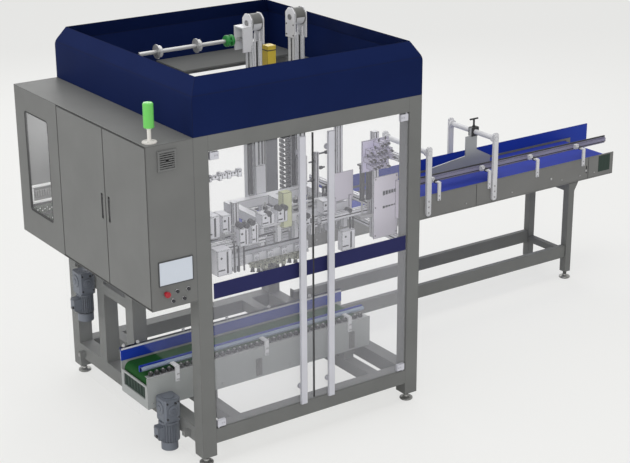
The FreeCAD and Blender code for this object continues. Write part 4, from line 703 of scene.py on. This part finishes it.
# --- Gear motors ---
# Cast housings in blue grey on the gearboxes of both drives. Cover plates, bolts, plugs and the
# fan cowl's grille are added, and a comb of fins round each barrel.
cast_blue = coated("cast_blue", (0.145, 0.160, 0.190), 0.5, "motor_grey", edge=0.8, grain_scale=250,
                   dent=0.35, line=3)
dress(cast_blue, "gear_motors")
mesh, bolts, fins, plugs = bmesh.new(), bmesh.new(), bmesh.new(), bmesh.new()
for x, y, low, crown in ((-112, 270, 240, 68), (-110, 1400, 740, 58.5)):
    comb = []
    for step, (across, beside) in enumerate(round_spots(96, 1)):
        reach = crown if step % 4 < 2 else crown - 7.5
        comb.append((x + reach * across, y + reach * beside))
    sheet_form(fins, comb, "z", low - 146, 120)
    cover = [(0, 44), (4, 44), (6, 40), (6, 20), (10, 18), (10, 0)]
    turned(mesh, (x - 60, y, low + 85), LEFT, cover)
    turned(mesh, (x, y - 60, low + 72), FRONT, [(0, 36), (4, 36), (6, 31), (6, 16), (10, 14), (10, 0)])
    turned(mesh, (x, y, low - 12), DOWN, [(0, crown - 4), (4, crown), (12, crown), (14, 50)], 40)
    turned(mesh, (x, y, low + 150), UP, [(0, 40), (4, 40), (5, 30), (5, 0)])
    turned(mesh, (x, y, low - 152), DOWN, [(0, 56.5), (3, 57.2), (6, 56.5)], 36)
    turned(mesh, (x, y, low - 22), DOWN, [(0, 50), (8, 54), (12, 50)], 36)
    for reach in (50, 41, 32, 23, 14):
        turned(mesh, (x, y, low - 210), DOWN, [
            (0, reach), (2.5, reach), (2.5, reach - 4), (0, reach - 4)], 36)
    pin(plugs, ((x - 40, x + 40), y - 59.5, (low + 18, low + 128)), FRONT, 6.5, 7)
    pin(plugs, (x + 18, y - 59.5, low + 122), FRONT, 8, 10)
    pin(plugs, (x - 94, y - 12, low - 100), LEFT, 10, 10)
    for beside, level in round_spots(6, 35):
        screw(bolts, (x - 64, y + beside, low + 85 + level), LEFT, 3.5)
    screw(bolts, ((x - 43, x + 43), (y - 43, y + 43), low - 12), DOWN, 5)
    box_face = x - 95
    block(mesh, (box_face, box_face + 4), (y - 30, y + 30), (low - 120, low - 44), 2)
    screw(bolts, (box_face, (y - 24, y + 24), (low - 113, low - 51)), LEFT, 3)
    turned(bolts, (x - 74, y, low - 124), DOWN, [(0, 10), (8, 10), (9, 8), (16, 7.5), (18, 5)], 12)
finished("motor_covers", mesh, cast_blue)
finished("motor_bolts", bolts, foot_zinc)
finished("motor_fins", fins, cast_blue)
finished("motor_plugs", plugs, knob_black)


# --- Roof beams and lift ---
# Grey beams carry two slotted aluminium columns with white cheek plates and steel pulleys. A
# shaft with two wheels and a green jaw coupling drives the belts, and a yellow servo the lift.
column_silver = coated("column_silver", (0.72, 0.73, 0.75), 0.4, metallic=0.2, edge=0.9, line=6)
dress(column_silver, "lift_columns")
cheek_white = coated("cheek_white", (0.68, 0.68, 0.70), 0.5, "head_white", edge=0.6)
dress(cheek_white, "pulley_heads")
SHAFT_Y, SHAFT_Z, PULLEY_Z, COLUMNS = 900, 2452, 2550, (982, 1322)
low, high = corners("drive_shaft")
mesh = bmesh.new()
pin(mesh, (low.x, SHAFT_Y, SHAFT_Z), RIGHT, 12.5, high.x - low.x, sides=32)
turned(mesh, ((250, 540), SHAFT_Y, SHAFT_Z), RIGHT, [
    (0, 30), (0, 46.5), (3, 46.9), (7, 46.5), (7, 34), (13, 33), (13, 37),
    (31, 37), (31, 30), (36, 24), (40, 22), (40, 12.5)], 40)
for y, z in round_spots(5, 24):
    screw(mesh, ((250.1, 540.1), SHAFT_Y + y, SHAFT_Z + z), LEFT, 4)
finished("lift_shaft", mesh, roller_steel, swaps=("drive_shaft",))
coupling_green = coated("coupling_green", (0.010, 0.20, 0.030), 0.5, "belt_green", edge=0.5)
mesh = bmesh.new()
turned(mesh, ((761, 795), SHAFT_Y, SHAFT_Z), RIGHT, [
    (0, 26), (3, 36), (6, 37.8), (21, 37.8), (24, 36), (24, 12.5)])
for y, z in round_spots(6, 26):
    pin(mesh, (779, SHAFT_Y + y, SHAFT_Z + z), RIGHT, 9, 22)
finished("shaft_coupling", mesh, coupling_green)
pulley_zinc = coated("pulley_zinc", (0.28, 0.28, 0.28), 0.4, "roller_steel", metallic=0.5, edge=0.5)
pulley_grey = coated("pulley_grey", (0.10, 0.10, 0.095), 0.5, "button_black", edge=0.5)
mesh, belts = bmesh.new(), bmesh.new()
for x in COLUMNS:
    turned(mesh, ((x - 39, x + 33), SHAFT_Y, PULLEY_Z), RIGHT, [(0, 30), (0, 60), (6, 60), (6, 30)], 40)
    outer, inner = [[(SHAFT_Y + y, PULLEY_Z + z) for y, z in round_spots(36, reach)[:19]]
                    for reach in (58.5, 55.5)]
    sheet_form(belts, outer + inner[::-1], "x", x - 32, 64)
finished("pulley_flanges", mesh, pulley_zinc)
finished("lift_belts", belts, pulley_grey)
mesh = bmesh.new()
for faces, way in (((932, 1272), LEFT), ((1032, 1372), RIGHT)):
    screw(mesh, (faces, (860, 940), (2430, 2500)), way, 5)
    turned(mesh, (faces, SHAFT_Y, PULLEY_Z), way, [(0, 20), (5, 20), (7, 17), (7, 0)], 24)
finished("head_bolts", mesh, pulley_zinc)
servo_yellow = coated("servo_yellow", (0.62, 0.46, 0.05), 0.45, edge=0.65)
dress(servo_yellow, "lift_motor")
low, high = corners("lift_motor")
x, y = (low.x + high.x) / 2, (low.y + high.y) / 2
mesh = bmesh.new()
for level in (low.z + 58, high.z - 34):
    block(mesh, (x - 35, x + 35), (y - 35, y + 35), (level, level + 7), 2)
screw(mesh, ((x - 36, x + 36), (y - 36, y + 36), low.z + 60), UP, 4)
turned(mesh, (x, y + 33, high.z - 60), BACK, [(0, 13), (12, 13), (13, 10), (20, 9), (20, 0)], 24)
finished("servo_bands", mesh, knob_black)
mesh = bmesh.new()
for x in COLUMNS:
    for side in (x - 26, x + 12):
        block(mesh, (side, side + 14), (853.5, 860.5), (2165, 2490), 2)
finished("column_strips", mesh, cheek_white)


# --- Lift columns, cable chain and drop head ---
# Inside the cell the columns carry slot covers and a jointed cable chain, and dark bars beside
# them are painted shade for the columns' shaded sides. The drop head is an aluminium frame with
# guide carriages, air cylinders and rows of gripper fingers.
head_silver = coated("head_silver", (0.78, 0.78, 0.81), 0.45, "profile_aluminium", metallic=0.1,
                     edge=1.0, line=7)
dress(head_silver, "drop_head")
mesh = bmesh.new()
for x in COLUMNS:
    block(mesh, (x - 4.5, x + 4.5), (861.2, 868), (1285, 2425), 0.8)
    for side in (x - 38.8, x + 32):
        block(mesh, (side, side + 6.8), (895.5, 904.5), (1285, 2425), 0.8)
for x, wide in ((946, 6), (1002, 12), (1286, 6), (1350, 10)):
    block(mesh, (x, x + wide), (857.5, 860.5), (1385, 2050), 0.6)
# Painted shade: two dark bars to the left of each column stand in for the column's shaded side.
for x in ((886, 900.4), (905.8, 922), (1246, 1255.6), (1259.2, 1270)):
    block(mesh, x, (846, 858), (1385, 2056), 2)
finished("slot_covers_and_shade_bars", mesh, joint_black)
mesh, pins = bmesh.new(), bmesh.new()
for count in range(24):
    z = 1300 + count * 32.5
    for x in (1184, 1232):
        block(mesh, (x, x + 7), (862, 922), (z, z + 27), 4)
    block(mesh, (1184, 1239), (862, 868), (z + 8, z + 17), 1)
    pin(pins, (1181, 892, z + 29.5), RIGHT, 6, 61)
finished("cable_chain_links", mesh, knob_black)
finished("cable_chain_pins", pins, roller_steel)
weight_cream = coated("weight_cream", (0.66, 0.68, 0.42), 0.6, "beacon_white", edge=0.9, line=7)
mesh = bmesh.new()
block(mesh, (1168, 1262), (842, 925), (1085, 1312), 3)
block(mesh, (836, 908), (352, 410), (1300, 1540), 3)
finished("chain_box", mesh, weight_cream)

(left, near, base), (right, far, top) = corners("drop_head")
cylinders, rods, plates, fingers = bmesh.new(), bmesh.new(), bmesh.new(), bmesh.new()
for count in range(6):
    x = left + 55 + count * 118
    pin(cylinders, (x, near + 30, 1381), UP, 16, 75, sides=20)
    pin(rods, (x, near + 30, 1455), UP, 6, 30)
    block(plates, (x - 22, x + 22), (near + 8, near + 52), (1376, 1384), 1)
    block(plates, (x - 10, x + 10), (near + 60, far - 80), (1300, 1318), 2)
    block(fingers, (x - 26, x + 26), (near + 50, near + 90), (1225, 1262), 3)
    block(fingers, (x - 8, x + 8), (near + 64, near + 76), (1195, 1320), 2)
    for finger in (x - 23, x + 17):
        block(rods, (finger, finger + 6), (near + 54, near + 86), (1170, 1228), 1)
pin(rods, (left + 10, near + 12, 1410), RIGHT, 9, 680, sides=16)
block(plates, (left + 10, right - 10), (near - 2, near + 26), (1430, 1438), 1)
finished("gripper_cylinders", cylinders, knob_black)
finished("gripper_rods", rods, roller_steel)
finished("gripper_plates", plates, bracket_white)
finished("gripper_fingers", fingers, head_silver)


# --- Profile frame and pusher ---
# An aluminium profile frame stands on the right bottom rail. It carries twin black air
# cylinders, a block of valves and a pale cover plate with vents.
bars, slots = bmesh.new(), bmesh.new()
for bar in (((1500, 1545), (260, 305), (1120, 1860)), ((1545, 1590), (50, 305), (1700, 1745)),
            ((1545, 1590), (50, 305), (1140, 1185)), ((1500, 1545), (305, 1020), (1330, 1375)),
            ((1500, 1545), (305, 1020), (1180, 1225)), ((1100, 1500), (300, 345), (1290, 1335)),
            ((110, 155), (520, 565), (1000, 1480)), ((560, 605), (520, 565), (1000, 1480)),
            ((60, 1500), (520, 565), (1180, 1225)), ((60, 1545), (760, 805), (1135, 1180)),
            ((300, 700), (350, 395), (1235, 1280)), ((1346, 1391), (458, 503), (1380, 1950)),
            ((1175, 1203), (466, 494), (1386, 1728))):
    block(bars, *bar, 3)
    spans = [high - low for low, high in bar]
    run = spans.index(max(spans))
    for face in {0, 1, 2} - {run}:
        line = 3 - run - face
        for edge in bar[face]:
            slot = list(bar)
            slot[line] = (sum(bar[line]) / 2 - 4, sum(bar[line]) / 2 + 4)
            slot[face] = (edge - 0.4, edge + 0.4)
            slot[run] = (bar[run][0] + 4, bar[run][1] - 4)
            block(slots, *slot)
finished("cell_profiles", bars, head_silver)
finished("cell_profile_slots", slots, joint_black)
pushers = (1435, 1487)
mesh = bmesh.new()
turned(mesh, (pushers, 300, 1389), UP, [(0, 18), (2, 20), (18, 20), (19, 17.5),
                                        (222, 17.5), (223, 20), (242, 20), (244, 18)], 28)
block(mesh, (1410, 1512), (276, 324), (1633, 1645), 2)
finished("pusher_cylinders", mesh, knob_black)
mesh = bmesh.new()
pin(mesh, (pushers, 300, 1290), UP, 7, 100, sides=16)
block(mesh, (1395, 1527), (262, 338), (1270, 1292), 3)
finished("pusher_rods", mesh, roller_steel)
valve_lilac = coated("valve_lilac", (0.62, 0.58, 0.74), 0.5, "white_guide", edge=1.0, line=6)
mesh, ports = bmesh.new(), bmesh.new()
valve_rows = ((1655, 1375, 4), (1705, 1350, 6), (1755, 1365, 5), (1800, 1430, 3))
for row, (level, start, count) in enumerate(valve_rows):
    for place in range(count):
        x, y = start + place * 36, 100 + 12 * ((place + row) % 3)
        block(mesh, (x, x + 27), (y, 172), (level, level + 36), 3)
        pin(ports, (x + 13, y + 1, level + 18), FRONT, 8, 18 + 6 * (place % 2))
        if (place + row) % 2:
            pin(ports, (x + 13, y + 30, level + 34), UP, 5, 24)
block(mesh, (1340, 1560), (172, 184), (1630, 1845), 2)
block(mesh, (1500, 1545), (184, 262), (1700, 1745), 2)
finished("valve_bodies", mesh, valve_lilac)
finished("valve_ports", ports, knob_black)
shroud_pale = coated("shroud_pale", (0.70, 0.66, 0.74), 0.5, "white_guide", edge=0.9, line=6)
mesh, vents = bmesh.new(), bmesh.new()
for x, y, z in (((1380, 1582), (98, 104), (1183, 1610)), ((1560, 1582), (52, 100), (1300, 1560)),
                ((1215, 1400), (352, 358), (1400, 1600)), ((1232, 1254), (344, 353), (1322, 1430)),
                ((1362, 1384), (344, 353), (1322, 1430))):
    block(mesh, x, y, z, 2)
for level, height in ((1475, 30), (1385, 16)):
    for part in range(5):
        x = 1455 + part * 23
        block(vents, (x, x + 18), (95.5, 98.5), (level + part * 2, level + height), 1)
screw(vents, ((1395, 1568), 98, (1205, 1400, 1595)), FRONT, 4)
finished("pusher_shroud", mesh, shroud_pale)
finished("shroud_vents", vents, knob_black)


# --- Slide rails, product lanes and guides ---
# Ground steel rails on bearing blocks lead the products over the case in six thin lanes. Small
# white housings with black knobs, rods and pipes stand on them, and a row of suction cups.
mesh = bmesh.new()
pin(mesh, (90, 480, (1290, 1345)), RIGHT, 8, 1380, sides=16)
for x in (100, 420, 760, 1080, 1420):
    block(mesh, (x, x + 40), (462, 520), (1270, 1365), 3)
    screw(mesh, (x + 20, 462, (1285, 1350)), FRONT, 5)
finished("slide_rails", mesh, roller_steel)
lane_white = coated("lane_white", (0.80, 0.80, 0.84), 0.5, "white_guide", edge=1.0, line=6)
mesh = bmesh.new()
for lane in range(6):
    y = 420 + lane * 64
    block(mesh, (160, 1080), (y, y + 6), (1085, 1150), 1)
for x in (160, 460, 760, 1060):
    block(mesh, (x, x + 14), (405, 790), (1072, 1086), 1)
    block(mesh, (x, x + 14), (775, 790), (1080, 1137), 1)
for hold in range(8):
    x = 200 + hold * 108
    block(mesh, (x, x + 46), (396, 414), (1092, 1148), 2)
    pin(mesh, (x + 23, 396, 1120), FRONT, 10, 20)
finished("product_lanes", mesh, lane_white)
mesh, darks = bmesh.new(), bmesh.new()
for x, y, back, z, wide, tall in (
        (470, 302, 352, 1262, 70, 124), (560, 302, 352, 1262, 55, 138),
        (640, 302, 382, 1365, 100, 80), (760, 302, 382, 1365, 80, 90),
        (960, 302, 382, 1300, 90, 60), (1120, 302, 382, 1350, 70, 90),
        (270, 250, 352, 1120, 110, 170), (1256, 280, 330, 1070, 110, 140),
        (250, 370, 482, 1330, 120, 150), (385, 370, 482, 1350, 70, 120)):
    face, sill = (y - 1.2, y + 0.2), z + tall * 0.2
    block(mesh, (x, x + wide), (y, back), (z, z + tall), 4)
    block(darks, (x + wide * 0.62, x + wide * 0.74), face, (z + 12, z + tall - 12), 0.5)
    block(darks, (x + 6, x + wide * 0.5), face, (sill, sill + 9), 0.5)
    pin(darks, (x + wide * 0.28, y - 2, z + tall * 0.70), BACK, 8, 54)
for x, wide, tall in ((50, 40, 30), (90, 18, 44), (108, 50, 24), (158, 22, 52),
                      (180, 36, 34), (216, 30, 46), (246, 44, 26), (290, 30, 48)):
    block(mesh, (x, x + wide + 1), (14, 46), (1866 - tall / 2, 1866 + tall / 2), 3)
    pin(darks, (x + wide / 2, 13, 1866 + tall * 0.2), BACK, 6, 36)
block(mesh, (1150, 1330), (425, 505), (1380, 1388), 2)
block(darks, (1240, 1274), (468, 492), (1387, 1480), 3)
for x, z in (((485, 575), 1405), (530, 1395), (700, 1440), (780, 1460), (825, 1455), (1000, 1365),
             (1340, 1331)):
    turned(darks, (x, 300, z), BACK, [(0, 14), (3, 20), (46, 20), (50, 14)], 20)
pin(darks, ((455, 486, 526), 345, 1080), UP, 6, 200)
pin(darks, ((1338, 1362), 302, 1080), UP, 6, 212)
for x, reach, z in ((1120, 60, 1535), (1130, 76, 1664), (1200, 148, 1712), (1190, 66, 1612)):
    pin(darks, (x, 480, z), RIGHT, 6, reach)
    turned(darks, (x + reach * 0.4, 480, z), RIGHT, [(0, 8), (2, 12), (18, 12), (20, 8)], 16)
for x, z, reach in ((440, 1291, 330), (520, 1212, 470), (470, 1318, 120)):
    pin(darks, (x, 346, z), RIGHT, 5.5, reach)
finished("guide_housings", mesh, lane_white)
finished("guide_darks", darks, knob_black)
cup_olive = coated("cup_olive", (0.42, 0.43, 0.33), 0.5, "white_guide", edge=1.0, line=6)
mesh, cups = bmesh.new(), bmesh.new()
for count in range(9):
    x, foot = 612 + count * 48, 1066 - 12 * (count % 3)
    block(mesh, (x - 16, x + 16), (366, 396), (foot, 1100), 3)
    pin(mesh, (x + 4, 367, 1088), FRONT, 9, 15)
    turned(cups, (x, 381, foot), DOWN, [(0, 8), (6, 8), (7, 13), (12, 13), (13, 10), (24, 17), (24, 12)], 20)
    pin(cups, (x - 8, 366, 1074), FRONT, 5, 10)
block(mesh, (590, 1020), (392, 400), (1088, 1100), 1)
finished("cup_holders", mesh, cup_olive)
finished("gripper_cups", cups, knob_black)
